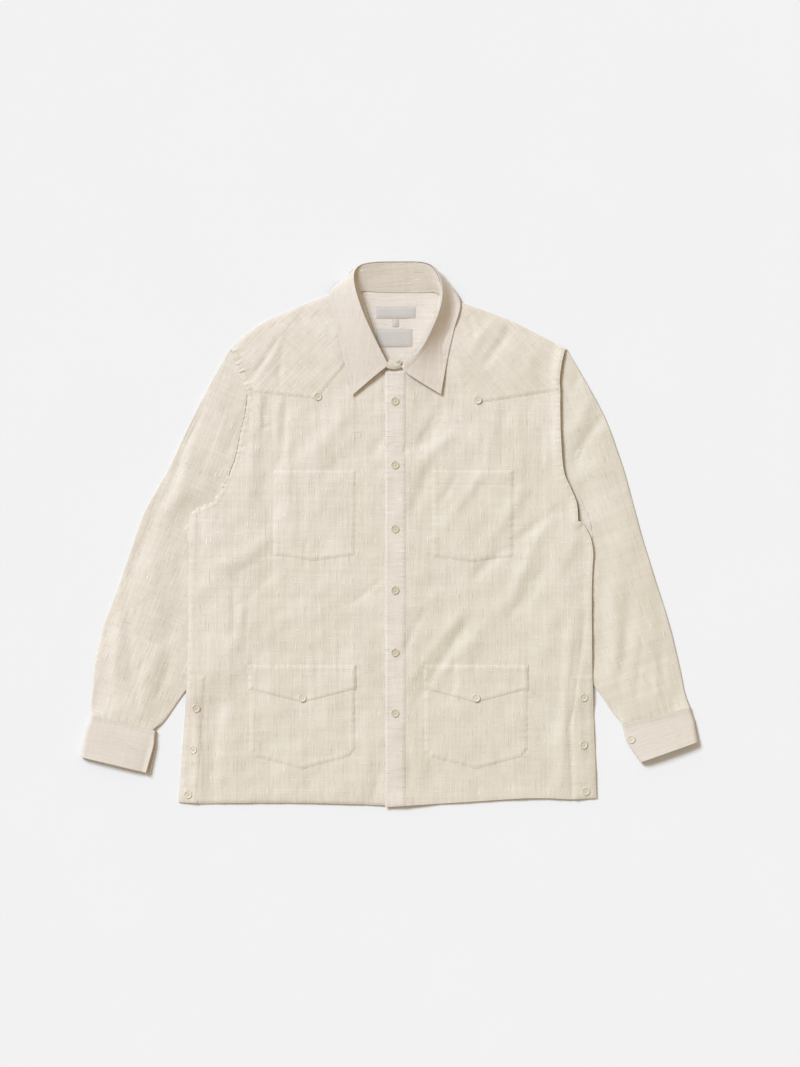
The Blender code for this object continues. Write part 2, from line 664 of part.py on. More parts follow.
def collar(fronts, back_yoke, collection):
    """The stand round the neck, and the leaf that turns over it down to the collar's points."""
    under = ((fronts["right"], 1), (fronts["left"], 1), (back_yoke, 0))
    skins = [(BVHTree.FromBMesh(panel), layers) for panel, layers in under]

    steps = [2] * (len(COLLAR) - 1)
    seam = smooth([plan(row) for row in COLLAR], steps)
    roll = smooth([Vector(row[2:5]) * MM for row in COLLAR], steps)
    edge = smooth([Vector(row[5:8]) * MM for row in COLLAR], steps)

    foot = [p.to_3d() + Vector((0, 0, cloth_top(skins, p, NECK_SEAM) + GAP)) for p in seam]
    ends = [(Vector((a, b, e)) * MM, Vector((c, d, f)) * MM) for a, b, c, d, e, f in STAND_ENDS]
    stand_rows, leaf_rows = [], []
    for low, high in [ends[0], *zip(foot, roll), ends[1]]:
        stand_rows.append([low.lerp(high, i / STAND_COLUMNS) for i in range(STAND_COLUMNS + 1)])
    for low, high, far in zip(foot, roll, edge):
        up = (high - low).normalized()
        along = Vector((-(high - NECK_CENTRE.to_3d()).y, (high - NECK_CENTRE.to_3d()).x, 0)).normalized()
        out = up.cross(along)
        if out.to_2d().dot(high.to_2d() - NECK_CENTRE) - out.z < 0:
            out.negate()
        start = high + up * ROLL_GAP
        bend = start + up * ROLL_RISE + out * ROLL_BEND
        row = []
        for i in range(LEAF_COLUMNS + 1):
            t = i / LEAF_COLUMNS
            row.append(start * (1 - t) ** 2 + bend * 2 * t * (1 - t) + far * t**2)
        leaf_rows.append(row)
    stand, leaf = surface(stand_rows), surface(leaf_rows)

    for made, name, inwards in ((stand, "collar_stand", True), (leaf, "collar_leaf", False)):
        if not faces_out(made):
            bmesh.ops.reverse_faces(made, faces=made.faces)
        solidify(add_object(name, to_mesh(name, made), collection), STIFF_WALL, inwards)


def faces_out(made):
    """Whether a piece round the neck mostly looks away from the neck's centre."""
    total = 0.0
    for face in made.faces:
        away = face.calc_center_median().to_2d() - NECK_CENTRE
        total += face.normal.to_2d().dot(away.normalized()) * face.calc_area()
    return total > 0


# --- buttons -------------------------------------------------------------------------------------


def button_mesh():
    """A button's half section, which a Screw modifier turns."""
    half = bmesh.new()
    points = [half.verts.new((radius * MM, 0, height * MM)) for radius, height in BUTTON_SECTION]
    for a, b in zip(points, points[1:]):
        half.edges.new((a, b))
    made = bpy.data.meshes.new("button")
    half.to_mesh(made)
    half.free()
    return made


def button(name, at, skin, layers, shared, collection):
    """A turned button, seated just above the highest cloth under it."""
    seat = cloth_top([(skin, layers)], at, BUTTON_RADIUS) + GAP
    solid = bpy.data.objects.new(name, shared)
    collection.objects.link(solid)
    turn = solid.modifiers.new("turned", "SCREW")
    turn.steps = turn.render_steps = BUTTON_SIDES
    turn.use_merge_vertices = True
    turn.merge_threshold = 0.00001
    turn.use_smooth_shade = True
    solid.location = (at.x, at.y, seat)


def buttons(fronts, cuff_solid, collection):
    skins = {side: BVHTree.FromBMesh(made) for side, made in fronts.items()}
    shared = button_mesh()
    shared.materials.append(material("button"))
    for i, y in enumerate(FRONT_BUTTONS_Y):
        button(f"button_front_{i + 1}", plan((FRONT_BUTTON_X, y)), skins["left"], 1, shared, collection)
    for side, spot in YOKE_BUTTONS.items():
        button(f"button_yoke_{side}", plan(spot), skins[side], 1, shared, collection)
    for side in ("right", "left"):
        left, right, top = POCKETS[f"hip_pocket_{side}"][:3]
        point_y = top + FLAP_ABOVE / MM - FLAP_POINT / MM
        spot = plan(((left + right) / 2, point_y + FLAP_BUTTON_UP))
        button(f"button_flap_{side}", spot, skins[side], 2, shared, collection)
        for i, vent in enumerate(VENT_BUTTONS[side]):
            button(f"button_vent_{side}_{i + 1}", plan(vent), skins[side], 1, shared, collection)
    bpy.context.view_layer.update()
    tree = BVHTree.FromObject(cuff_solid, bpy.context.evaluated_depsgraph_get())
    button("button_cuff_left", plan(CUFF_BUTTON), tree, -WALL / LAYER, shared, collection)


def main():
    for old in list(bpy.data.objects):
        bpy.data.objects.remove(old)
    shirt = bpy.data.collections.new("camp_shirt")
    bpy.context.scene.collection.children.link(shirt)

    back = back_panels(shirt)
    fronts = {side: front_panel(side, shirt) for side in ("right", "left")}
    yokes(fronts, shirt)
    bands(fronts, shirt)
    pockets_and_flaps(fronts, shirt)
    labels(back["back_yoke"], shirt)
    cuffs = {}
    for side in ("right", "left"):
        sleeve(side, shirt)
        cuffs[side] = cuff(side, shirt)
    collar(fronts, back["back_yoke"], shirt)
    buttons(fronts, cuffs["left"], shirt)


main()
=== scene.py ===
# %% [markdown]
# # A camp shirt, laid flat
#
# The shirt is ecru slub cotton: long sleeves, two western yokes, four patch pockets, buttoned side
# vents, and a collar on a stand. It lies on its back, and the camera looks straight down.
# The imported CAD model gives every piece's place and main form. This lesson measures those solids and
# makes each cut-and-sewn piece again as thin cloth, with its creases, seams, stitches and weave.

# %% The frame
import json
import math

import bmesh
import bpy
import numpy as np
from mathutils import Matrix, Vector, geometry, kdtree
from mathutils.bvhtree import BVHTree

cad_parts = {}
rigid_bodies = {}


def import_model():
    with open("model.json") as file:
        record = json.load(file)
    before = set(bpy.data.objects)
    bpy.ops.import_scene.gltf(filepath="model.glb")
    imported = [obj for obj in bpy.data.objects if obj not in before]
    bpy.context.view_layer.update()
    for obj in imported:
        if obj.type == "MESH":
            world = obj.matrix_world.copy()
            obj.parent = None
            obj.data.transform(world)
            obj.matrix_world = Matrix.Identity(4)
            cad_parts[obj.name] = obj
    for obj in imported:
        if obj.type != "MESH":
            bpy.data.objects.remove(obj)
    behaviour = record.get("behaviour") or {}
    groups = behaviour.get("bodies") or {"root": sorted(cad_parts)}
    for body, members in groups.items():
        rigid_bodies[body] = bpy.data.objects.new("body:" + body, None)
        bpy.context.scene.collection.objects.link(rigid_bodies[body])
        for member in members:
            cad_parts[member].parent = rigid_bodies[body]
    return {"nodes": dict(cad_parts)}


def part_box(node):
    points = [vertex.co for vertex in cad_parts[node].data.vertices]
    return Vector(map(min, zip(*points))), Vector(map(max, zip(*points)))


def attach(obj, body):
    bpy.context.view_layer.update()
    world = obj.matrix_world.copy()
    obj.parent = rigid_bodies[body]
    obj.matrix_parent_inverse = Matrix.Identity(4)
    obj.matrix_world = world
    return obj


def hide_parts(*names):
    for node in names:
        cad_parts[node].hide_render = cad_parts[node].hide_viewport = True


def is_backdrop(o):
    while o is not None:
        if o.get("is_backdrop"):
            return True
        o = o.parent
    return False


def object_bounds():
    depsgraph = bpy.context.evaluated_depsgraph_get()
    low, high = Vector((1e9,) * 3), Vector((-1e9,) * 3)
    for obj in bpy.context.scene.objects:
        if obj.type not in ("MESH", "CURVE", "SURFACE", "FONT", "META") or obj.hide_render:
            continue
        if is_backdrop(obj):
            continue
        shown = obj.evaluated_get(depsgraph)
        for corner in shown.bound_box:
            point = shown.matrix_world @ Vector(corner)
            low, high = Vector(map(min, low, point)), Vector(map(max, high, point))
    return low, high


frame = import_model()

for shown in bpy.context.scene.objects:
    shown.select_set(False)
CAD_LOW, CAD_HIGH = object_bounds()
MM = 0.001
SIDES = ("right", "left")  # the wearer's
DOWN = Vector((0, 0, -1))
print("CAD box in mm:", [round(v / MM, 1) for v in (CAD_HIGH - CAD_LOW)])

# %% [markdown]
# ## Measuring a CAD solid
#
# Each panel of the CAD model is a wall of coarse facets. Two things are read from it: the outline of
# its shadow on the table, and the corners of its upper skin. The outline becomes the cut edge of the
# fine cloth, and a smooth surface through the corners becomes its form. Copying the facets and
# subdividing them would be quicker, but the triangles would show as dents in soft light.

# %% Reading outlines and corners
MERGED = 2e-6  # corners of neighbouring facets are closer than this
JOG = 1.2 * MM  # outline points closer than this are one
FEELER = 0.4 * MM  # how far round a corner its skin is felt for


def solid_copy(node):
    """A merged copy of a CAD node's mesh, for measuring and shaping."""
    made = bmesh.new()
    made.from_mesh(frame["nodes"][node].data)
    bmesh.ops.remove_doubles(made, verts=made.verts, dist=MERGED)
    made.normal_update()
    return made


def shadow_outline(node):
    """The outline of a solid's shadow in plan, counter-clockwise, as an array of points."""
    solid = solid_copy(node)
    solid.verts.index_update()
    flat = [v.co.to_2d() for v in solid.verts]
    cast = [[v.index for v in face.verts] for face in solid.faces if abs(face.normal.z) > 0.05]
    points, _, faces, *_ = geometry.delaunay_2d_cdt(flat, [], cast, 1, 1e-5)
    sides = dict.fromkeys(side for face in faces for side in zip(face, face[1:] + face[:1]))
    follow = {a: b for a, b in sides if (b, a) not in sides}
    start = min(follow, key=lambda i: points[i].y)
    loop = [start]
    while follow[loop[-1]] != start and len(loop) <= len(follow):
        loop.append(follow[loop[-1]])
    solid.free()
    line = [points[i] for i in loop]
    kept = [line[0]]
    for p in line[1:]:
        if (p - kept[-1]).length > JOG:
            kept.append(p)
    if (kept[-1] - kept[0]).length < JOG:
        kept.pop()
    return np.array([tuple(p) for p in kept])


def skin_corners(node, upward=True, avoid=(), clear=2.5 * MM):
    """The corners of a solid's upper or lower skin, leaving out those close to the lines in `avoid`."""
    solid = solid_copy(node)
    tree = BVHTree.FromBMesh(solid)
    sign = 1 if upward else -1
    found = []
    for v in solid.verts:
        here = np.array(v.co.to_2d())
        if any(np.linalg.norm(line - here, axis=1).min() < clear for line in avoid):
            continue
        around = ((0, 0), (FEELER, 0), (-FEELER, 0), (0, FEELER), (0, -FEELER))
        hits = [tree.ray_cast(Vector((v.co.x + dx, v.co.y + dy, sign)), DOWN * sign)[0] for dx, dy in around]
        best = max((hit.z * sign for hit in hits if hit), default=None)
        if best is not None and abs(best * sign - v.co.z) < FEELER / 2:
            found.append(tuple(v.co))
    solid.free()
    return np.array(found)


class Form:
    """A smooth height over the plan through given corners: a thin plate bent to pass through them."""

    def __init__(self, corners, iron=1e-5):
        self.centres = corners[:, :2]
        count = len(corners)
        plate = self.bend(self.centres) + np.eye(count) * iron
        linear = np.hstack([np.ones((count, 1)), self.centres])
        system = np.block([[plate, linear], [linear.T, np.zeros((3, 3))]])
        self.weights = np.linalg.solve(system, np.append(corners[:, 2], (0, 0, 0)))

    def bend(self, points):
        away = ((points[:, None, :] - self.centres[None]) ** 2).sum(2)
        return 0.5 * away * np.log(away + 1e-12)

    def __call__(self, points):
        linear = np.hstack([np.ones((len(points), 1)), points])
        return np.hstack([self.bend(points), linear]) @ self.weights


print("front outline corners:", len(shadow_outline("front_right")))

# %% [markdown]
# ## Cutting a panel
#
# A real panel has a few true corners, such as the underarm or the tip of a yoke, with smooth curves
# between them. So the sharpest corners of the outline are kept, the rest is made a smooth curve, and
# the inside is filled with small even triangles. Rows of points run beside the edge, so that it can
# roll down and a row of stitches can press into the cloth there.

# %% Outlines as smooth stretches


def cubic(p0, p1, p2, p3, t):
    """A point of the Catmull-Rom curve between p1 and p2."""
    return 0.5 * (
        2 * p1
        + (p2 - p0) * t
        + (2 * p0 - 5 * p1 + 4 * p2 - p3) * t**2
        + (3 * p1 - p0 - 3 * p2 + p3) * t**3
    )


def lengths(line):
    """The length along a line at each of its points."""
    return np.append(0, np.cumsum(np.linalg.norm(np.diff(line, axis=0), axis=1)))


def at_length(line, at):
    """Points at given lengths along a line."""
    return np.stack([np.interp(at, lengths(line), line[:, k]) for k in range(line.shape[1])], axis=1)


def even(line, count):
    """The line cut into `count` even steps."""
    return at_length(line, np.linspace(0, lengths(line)[-1], count + 1))


def leftwards(line):
    """The direction to the left of a line at each point. On an outline's edge it is inwards."""
    run = np.gradient(line, axis=0)
    run /= np.linalg.norm(run, axis=1)[:, None]
    return np.stack([-run[:, 1], run[:, 0]], axis=1)


def smooth_line(points, step):
    """Points about `step` apart along the smooth curve through some points, both ends kept."""
    ends = [2 * points[0] - points[1], *points, 2 * points[-1] - points[-2]]
    dense = [points[0]]
    for i in range(len(points) - 1):
        count = max(2, int(np.linalg.norm(points[i + 1] - points[i]) / step * 3))
        dense += [cubic(*ends[i : i + 4], (k + 1) / count) for k in range(count)]
    dense = np.array(dense)
    return even(dense, max(1, round(lengths(dense)[-1] / step)))


def turn_angles(outline):
    """How far a closed outline turns at each point, in radians."""
    before, after = outline - np.roll(outline, 1, 0), np.roll(outline, -1, 0) - outline
    cross = before[:, 0] * after[:, 1] - before[:, 1] * after[:, 0]
    return np.arctan2(cross, (before * after).sum(1))


def stretches(outline, corners, step, apart):
    """The smooth lines between an outline's sharpest corners, counter-clockwise from its lower left one."""
    sharpest = []
    for i in np.argsort(-np.abs(turn_angles(outline))):
        near = [np.linalg.norm(outline[i] - p) for p in sharpest]
        if not near or min(near) > apart:
            sharpest.append(outline[i])
        if len(sharpest) == corners:
            break
    from_corner = [min(np.linalg.norm(p - c) for c in sharpest) for p in outline]
    outline = np.array([p for p, d in zip(outline, from_corner) if d == 0 or d > apart / 2])
    sharpest = [int(np.linalg.norm(outline - c, axis=1).argmin()) for c in sharpest]
    first = min(sharpest, key=lambda i: outline[i].sum())
    order = sorted((i - first) % len(outline) for i in sharpest)
    turned = np.roll(outline, -first, axis=0)
    turned = np.vstack([turned, turned[:1]])
    return [smooth_line(turned[a : b + 1], step) for a, b in zip(order, [*order[1:], len(outline)])]


def joined(lines):
    """The closed outline made of its stretches."""
    return np.vstack([line[:-1] for line in lines])


def inside(points, outline):
    """Which points lie inside a closed outline."""
    x, y = points[:, 0], points[:, 1]
    within = np.zeros(len(points), bool)
    for (ax, ay), (bx, by) in zip(outline, np.roll(outline, -1, axis=0)):
        if ay == by:
            continue
        crosses = (ay > y) != (by > y)
        within ^= crosses & (x < (bx - ax) * (y - ay) / (by - ay) + ax)
    return within


def line_distance(points, line, reach):
    """Distance to an open line and the length along it, for the points within reach."""
    away, along = np.full(len(points), np.inf), np.zeros(len(points))
    low, high = line.min(0) - reach, line.max(0) + reach
    near = np.where(((points > low) & (points < high)).all(1))[0]
    start, run = line[:-1], np.diff(line, axis=0)
    size = np.linalg.norm(run, axis=1)
    before = lengths(line)[:-1]
    for chunk in np.array_split(near, max(1, len(near) // 4000)):
        if not len(chunk):
            continue
        p = points[chunk][:, None, :]
        share = np.clip(((p - start) * run).sum(2) / (size * size), 0, 1)
        gap = np.linalg.norm(start + run * share[..., None] - p, axis=2)
        best = gap.argmin(1)
        rows = np.arange(len(chunk))
        away[chunk] = gap[rows, best]
        along[chunk] = before[best] + share[rows, best] * size[best]
    return away, along


# %% Filling an outline with small triangles
EDGE_ROWS = (0.8 * MM, 2.2 * MM, 4.2 * MM)  # rows of points beside the edge


def cut_panel(outline, step):
    """Points and triangles that fill an outline, with rows of points beside its edge."""
    before, after = outline - np.roll(outline, 1, 0), np.roll(outline, -1, 0) - outline
    along = before / np.linalg.norm(before, axis=1)[:, None]
    along += after / np.linalg.norm(after, axis=1)[:, None]
    inwards = np.stack([-along[:, 1], along[:, 0]], axis=1)
    inwards /= np.linalg.norm(inwards, axis=1)[:, None] + 1e-9
    tree = kdtree.KDTree(len(outline))
    for i, p in enumerate(outline):
        tree.insert((*p, 0), i)
    tree.balance()

    def clear_of_edge(points, distance):
        far = [tree.find((*p, 0))[2] >= distance for p in points]
        return points[np.array(far, bool) & inside(points, outline)]

    rows = [clear_of_edge(outline + inwards * d, 0.97 * d) for d in EDGE_ROWS]
    low, high = outline.min(0), outline.max(0)
    grid_x = np.arange(low[0] + step / 2, high[0], step)
    grid_y = np.arange(low[1] + step / 2, high[1], step * 0.9)
    grid = np.stack(np.meshgrid(grid_x, grid_y), axis=-1)
    grid[1::2, :, 0] += step / 2
    grid = clear_of_edge(grid.reshape(-1, 2), EDGE_ROWS[-1] + 0.6 * step)
    points = np.vstack([outline, *rows, grid])
    rim = [(i, (i + 1) % len(outline)) for i in range(len(outline))]
    found, _, faces, *_ = geometry.delaunay_2d_cdt([Vector(p) for p in points], rim, [], 1, 1e-7)
    return np.array([tuple(p) for p in found]), faces


print("rows beside an edge, mm from it:", [round(row / MM, 1) for row in EDGE_ROWS])

# %% [markdown]
# ## Creases, seams and puckers
#
# Cloth that has been folded and laid out keeps a few soft ridges and troughs. Each is listed one by one:
# where it starts and ends as shares of the panel's own box, how wide it is and how high it stands.
# A stitched seam has its own relief: the folded allowance makes a low step, each row of stitches
# presses a groove, and the thread pulls small puckers across it. All of it is real geometry here,
# so that it shows in a plain mesh too.

# %% Relief on the cloth
CREASE_END = 0.3  # share of a crease's length over which it fades in and out
SEAM_REACH = 22 * MM  # how far from a seam its relief ends
STITCH_GROOVE = 0.28 * MM
GROOVE_WIDTH = 0.9 * MM
WAVES = ((21, 0.10), (27, 0.12), (34, 0.15), (46, 0.20), (61, 0.26), (83, 0.30))  # mm long, mm high


def smoothstep(t):
    """0 below t = 0, 1 above t = 1, and an even rise between them."""
    t = np.clip(t, 0, 1)
    return t * t * (3 - 2 * t)


def ripple(along, period, seed):
    """An uneven wave about 1 high along a line: three sines whose periods never meet."""
    turn = 2 * math.pi / period
    return (
        0.5 * np.sin(turn * along + seed * 1.7)
        + 0.35 * np.sin(turn * 0.618 * along + seed * 4.1)
        + 0.3 * np.sin(turn * 1.71 * along + seed * 2.3)
    )


def rumple(points, seed=0.0):
    """The slight unevenness of cloth that was never pressed flat: waves of a length and a height in
    millimetres, each turned from the last, and bent by one another so that none shows."""
    x, y = (points / MM).T
    total = np.zeros(len(points))
    for k, (length, height) in enumerate(WAVES):
        turn = 2.4 * k + seed
        bent = 0.9 * np.sin((x * math.sin(turn + 1) + y * math.cos(turn + 1)) / (1.7 * length) + seed)
        across = x * math.cos(turn) + y * math.sin(turn)
        total += height * np.sin(across * 2 * math.pi / length + bent * 2 + k)
    return total * MM


def crease_heights(points, creases, low, size):
    """The height that a panel's creases add. A row gives x0, y0, x1, y1 in shares of the box from `low`
    over `size`, the half width and height in millimetres, and 2 for a soft crest or 1 for a sharp one."""
    total = np.zeros(len(points))
    for k, (x0, y0, x1, y1, half, height, crest) in enumerate(creases):
        start, end = low + size * (x0, y0), low + size * (x1, y1)
        run = end - start
        length = np.linalg.norm(run)
        share = ((points - start) @ run) / length**2
        side = ((points - start) @ np.array([-run[1], run[0]])) / length
        side = side + half * MM * 0.5 * np.sin(share * 4.4 + k * 1.9)
        fade = smoothstep(share / CREASE_END) * smoothstep((1 - share) / CREASE_END)
        total += height * MM * fade * np.exp(-((np.abs(side) / (half * MM)) ** crest))
    return total


def seam_relief(points, line, step=0.0, width=0.0, rows=(), pucker=0.0, period=9.0, seed=0):
    """The relief beside a seam, all in millimetres: a folded allowance `step` high and `width` wide, grooves
    at the distances in `rows`, and puckers of a height and an average spacing."""
    away, along = line_distance(points, line, SEAM_REACH)
    away_mm = np.minimum(away, SEAM_REACH) / MM
    height = step * MM * (1 - smoothstep((away_mm - width) / 1.3)) if step else 0.0
    for row in rows:
        height = height - STITCH_GROOVE * np.exp(-(((away_mm - row) * MM / GROOVE_WIDTH) ** 2))
    middle = sum(rows) / len(rows) if rows else 0.0
    swell = np.exp(-(((away_mm - middle) / 6.5) ** 2)) + 0.35 * np.exp(-((away_mm / 12) ** 2))
    height = height + pucker * MM * swell * ripple(along, period * MM, seed)
    return np.where(away < SEAM_REACH, height, 0.0)


flat_cloth = np.stack(np.meshgrid(np.linspace(0, 0.1, 21), np.linspace(0, 0.1, 21)), axis=-1).reshape(-1, 2)
print("unpressed cloth rises", round(float(np.ptp(rumple(flat_cloth))) / MM, 2), "mm over 100 mm")


# %% [markdown]
# ## A finish for the cloth
#
# Slub cotton is a plain weave whose yarns thicken here and there, so thin raised streaks run along
# the warp and shorter ones across it, over a faint uneven check. The pattern has to follow each cut
# piece: upright on the fronts, on the bias in the yokes, and along the sleeves. Each piece therefore
# has a UV map named grain, in metres, and one material reads it. Shader maths is written as Python
# expressions through a small class that wraps a socket.

# %% Shader expressions


class Value:
    """One output in a shader graph. An expression on values adds its Math nodes."""

    def __init__(self, tree, socket):
        self.tree, self.socket = tree, socket

    def maths(self, operation, first, second=None):
        node = self.tree.nodes.new("ShaderNodeMath")
        node.operation = operation
        for slot, given in zip(node.inputs, (first, second)):
            feed(slot, given)
        return Value(self.tree, node.outputs[0])

    def __add__(self, other):
        return self.maths("ADD", self, other)

    def __mul__(self, other):
        return self.maths("MULTIPLY", self, other)

    def __sub__(self, other):
        return self.maths("SUBTRACT", self, other)

    def __rsub__(self, other):
        return self.maths("SUBTRACT", other, self)

    def sine(self):
        return self.maths("SINE", self)

    __radd__, __rmul__ = __add__, __mul__


def feed(slot, given):
    """Links a value to a socket, or sets a number or colour on it."""
    if isinstance(given, Value):
        given.tree.links.new(given.socket, slot)
    elif given is not None:
        slot.default_value = given


class Finish:
    """A material and its node tree, with one method that adds any node."""

    def __init__(self, name, roughness, sheen=0.0, coat=0.0):
        self.material = bpy.data.materials.new(name)
        self.material.use_nodes = True
        self.tree = self.material.node_tree
        self.shader = self.tree.nodes["Principled BSDF"]
        constants = {"Roughness": roughness, "Coat Weight": coat}
        constants |= {"Sheen Weight": sheen, "Sheen Roughness": 0.5}
        for name, value in constants.items():
            self.shader.inputs[name].default_value = value

    def node(self, kind, output, settings=(), **inputs):
        """Adds a node, makes its settings, then fills its sockets. Returns one of its outputs."""
        made = self.tree.nodes.new(f"ShaderNode{kind}")
        for setting, value in dict(settings).items():
            setattr(made, setting, value)
        for name, given in inputs.items():
            feed(next(s for s in made.inputs if s.name == name.replace("_", " ") and s.enabled), given)
        return Value(self.tree, next(s for s in made.outputs if s.name == output and s.enabled))

    def split(self, vector):
        """The first two parts of a vector."""
        return [self.node("SeparateXYZ", axis, Vector=vector) for axis in "XY"]

    def grain(self):
        """The place on the piece's own flat pattern, in metres across and along."""
        return self.split(self.node("UVMap", "UV", {"uv_map": "grain"}))

    def ramp(self, value, low, high):
        """0 below `low`, 1 above `high`, smooth between them."""
        smooth = {"interpolation_type": "SMOOTHSTEP"}
        return self.node("MapRange", "Result", smooth, Value=value, From_Min=low, From_Max=high)

    def noise(self, x, y, scale_x, scale_y, detail=2.0, seed=0.0):
        """Noise stretched over a plan: scale is in repeats a metre."""
        place = self.node("CombineXYZ", "Vector", X=x * scale_x, Y=y * scale_y, Z=seed)
        return self.node("TexNoise", "Fac", Vector=place, Scale=1.0, Detail=detail, Roughness=0.55)

    def mix(self, factor, first, second):
        return self.node("Mix", "Result", {"data_type": "RGBA"}, Factor=factor, A=first, B=second)

    def surface(self, colour, height=None, strength=1.0, roughness=None):
        """Wires a colour and a height in millimetres to the shader."""
        feed(self.shader.inputs["Base Color"], colour)
        if roughness is not None:
            feed(self.shader.inputs["Roughness"], roughness)
        if height is not None:
            bumped = self.node("Bump", "Normal", Height=height, Strength=strength, Distance=MM)
            feed(self.shader.inputs["Normal"], bumped)
        return self.material


# %% The slub cotton
YARN = 1.1 * MM  # two yarns of the weave
GREYED = (0.52, 0.49, 0.46, 1)  # where the attribute named shade is 1


def slub_cotton(name, pale, warm, deep, slubs=1.0):
    """Plain woven cotton with uneven yarns, read from the piece's own grain map, under a painted shade that
    darkens it towards the wearer's left and the hem.
    """
    cloth = Finish(name, roughness=0.86, sheen=0.12)
    u, v = cloth.grain()

    # Slubs: short thick places in the warp and in the weft, each in its own patches.
    patches = cloth.ramp(cloth.noise(u, v, 30, 22, 1, 3.0), 0.38, 0.62)
    warp = cloth.ramp(cloth.noise(u, v, 430, 52, 2, 0.0), 0.58, 0.72)
    weft = cloth.ramp(cloth.noise(u, v, 60, 460, 2, 7.0), 0.59, 0.73)
    slub = (warp * (patches * 0.9 + 0.3) + weft * ((1 - patches) * 0.65 + 0.2)) * slubs
    # Thin places, where the ground shows darker between yarns.
    thin = cloth.ramp(cloth.noise(u, v, 520, 40, 2, 12.0), 0.60, 0.76)
    thin = thin + cloth.ramp(cloth.noise(u, v, 46, 560, 2, 15.0), 0.62, 0.78) * 0.7
    # The uneven density of yarns makes soft upright and level bars.
    check = cloth.noise(u, v, 150, 7, 2, 21.0) + cloth.noise(u, v, 9, 170, 2, 25.0) * 0.7
    crinkle = cloth.noise(u, v, 240, 14, 2, 61.0) - 0.5
    crumb = cloth.noise(u, v, 900, 900, 3, 31.0)
    turn = 2 * math.pi / YARN
    weave = (u * turn).sine() * (v * turn).sine()

    tone = (
        0.5
        + (check - 0.85) * 0.40
        + slub * 0.60
        - thin * 0.50
        + (crumb - 0.5) * 0.6
        + (cloth.noise(u, v, 22, 16, 2, 40.0) - 0.5) * 0.22
    )
    # Painted shade: the wearer's left and the hem are a little darker and yellower than the rest, as if less
    # light reached them.
    x, y = cloth.split(cloth.node("TexCoord", "Object"))
    painted_falloff = x * 1.1 + y * -1.2
    warmth = cloth.ramp(cloth.noise(u, v, 14, 9, 2, 50.0) * 0.7 + painted_falloff * 0.32, 0.14, 0.56)
    colour = cloth.mix(cloth.ramp(tone, 0.0, 1.0), deep, cloth.mix(warmth, pale, warm))
    shade = cloth.node("Attribute", "Fac", {"attribute_name": "shade"})
    colour = cloth.mix(shade, colour, GREYED)
    height = slub * 0.33 - thin * 0.17 + crumb * 0.18 + check * 0.12 + crinkle * 0.55 + weave * 0.035
    return cloth.surface(colour, height, strength=0.9)


COTTON = slub_cotton(
    "ecru_slub_cotton", (0.815, 0.750, 0.680, 1), (0.748, 0.694, 0.584, 1), (0.600, 0.535, 0.428, 1)
)
BAND = slub_cotton(
    "ecru_band_cotton", (0.820, 0.755, 0.695, 1), (0.785, 0.724, 0.655, 1), (0.620, 0.545, 0.455, 1), 0.6
)
FUSED = slub_cotton(
    "ecru_fused_cotton", (0.755, 0.690, 0.622, 1), (0.715, 0.655, 0.572, 1), (0.630, 0.555, 0.468, 1), 0.5
)
print("cotton nodes:", len(COTTON.node_tree.nodes))

# %% [markdown]
# ## Laying one piece of cloth
#
# Every panel is made the same way: its outline is filled, each point gets its height, and Solidify
# gives the sheet its wall. Cloth can't pass through cloth, so each new panel is raised wherever it
# would cut into what is already laid down. The grain map is also the pattern piece lying flat, so its
# area is the sheet's cut.

# %% One sheet of cloth
WALL = 0.8 * MM
PATCH_WALL = 0.6 * MM
LAYER = 0.9 * MM  # rise from one layer of cloth to the next
CLEAR = 0.2 * MM  # air between layers
SUNK = 0.6 * MM  # how far a sewn edge presses into what it lies on
SUNK_WIDE = 3.4 * MM  # how far in from the edge it starts to sink
EDGE_STEP = 2.3 * MM  # spacing of the points along an edge
STEP = 3.4 * MM  # size of the triangles
SMOOTH = math.radians(50)  # facets that turn less than this are shaded as one surface
SMALLEST_CUT = 10 * MM  # a sheet's side is declared as this at least
skins, cuts = {}, {}  # by the sheet's name: its upper skin, and its flat width, length and area


def on_bias(degrees):
    """A grain map in plan whose warp runs at this angle from upright."""
    turn = math.radians(degrees)
    across = np.array([math.cos(turn), math.sin(turn)])
    along = np.array([-math.sin(turn), math.cos(turn)])
    return lambda points: np.stack([points @ across, points @ along], axis=1)


UPRIGHT, CROSSWISE = on_bias(0), on_bias(90)


def raised_over(points, heights, below, clear):
    """Heights lifted where they would cut into the cloth that is already laid."""
    for name in below:
        tree = skins[name]
        for i, (x, y) in enumerate(points):
            hit = tree.ray_cast(Vector((x, y, 1)), DOWN)[0]
            if hit and heights[i] < hit.z + clear:
                heights[i] = hit.z + clear
    return heights


def linked(name, data):
    """A new object in the scene, made active."""
    made = bpy.data.objects.new(name, data)
    bpy.context.scene.collection.objects.link(made)
    bpy.context.view_layer.objects.active = made
    return made


def finished(made, node, wall, finish):
    """Gives a sheet its wall, smooth shading and material, and hides the CAD node it stands for."""
    modifier = made.modifiers.new("wall", "SOLIDIFY")
    modifier.thickness, modifier.offset = wall, -1
    bpy.ops.object.modifier_apply(modifier="wall")
    for v in made.data.vertices:  # where two layers touch, the inner side stays off the ground
        v.co.z = max(v.co.z, 0.0)
    made.select_set(True)
    bpy.ops.object.shade_smooth_by_angle(angle=SMOOTH)
    made.select_set(False)
    made.data.materials.append(finish)
    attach(made, "root")
    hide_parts(node)
    cut = [round(float(c), 3) for c in cuts[made.name]]
    print(f"{made.name}: {len(made.data.polygons)} faces, cut {cut}")
    return made


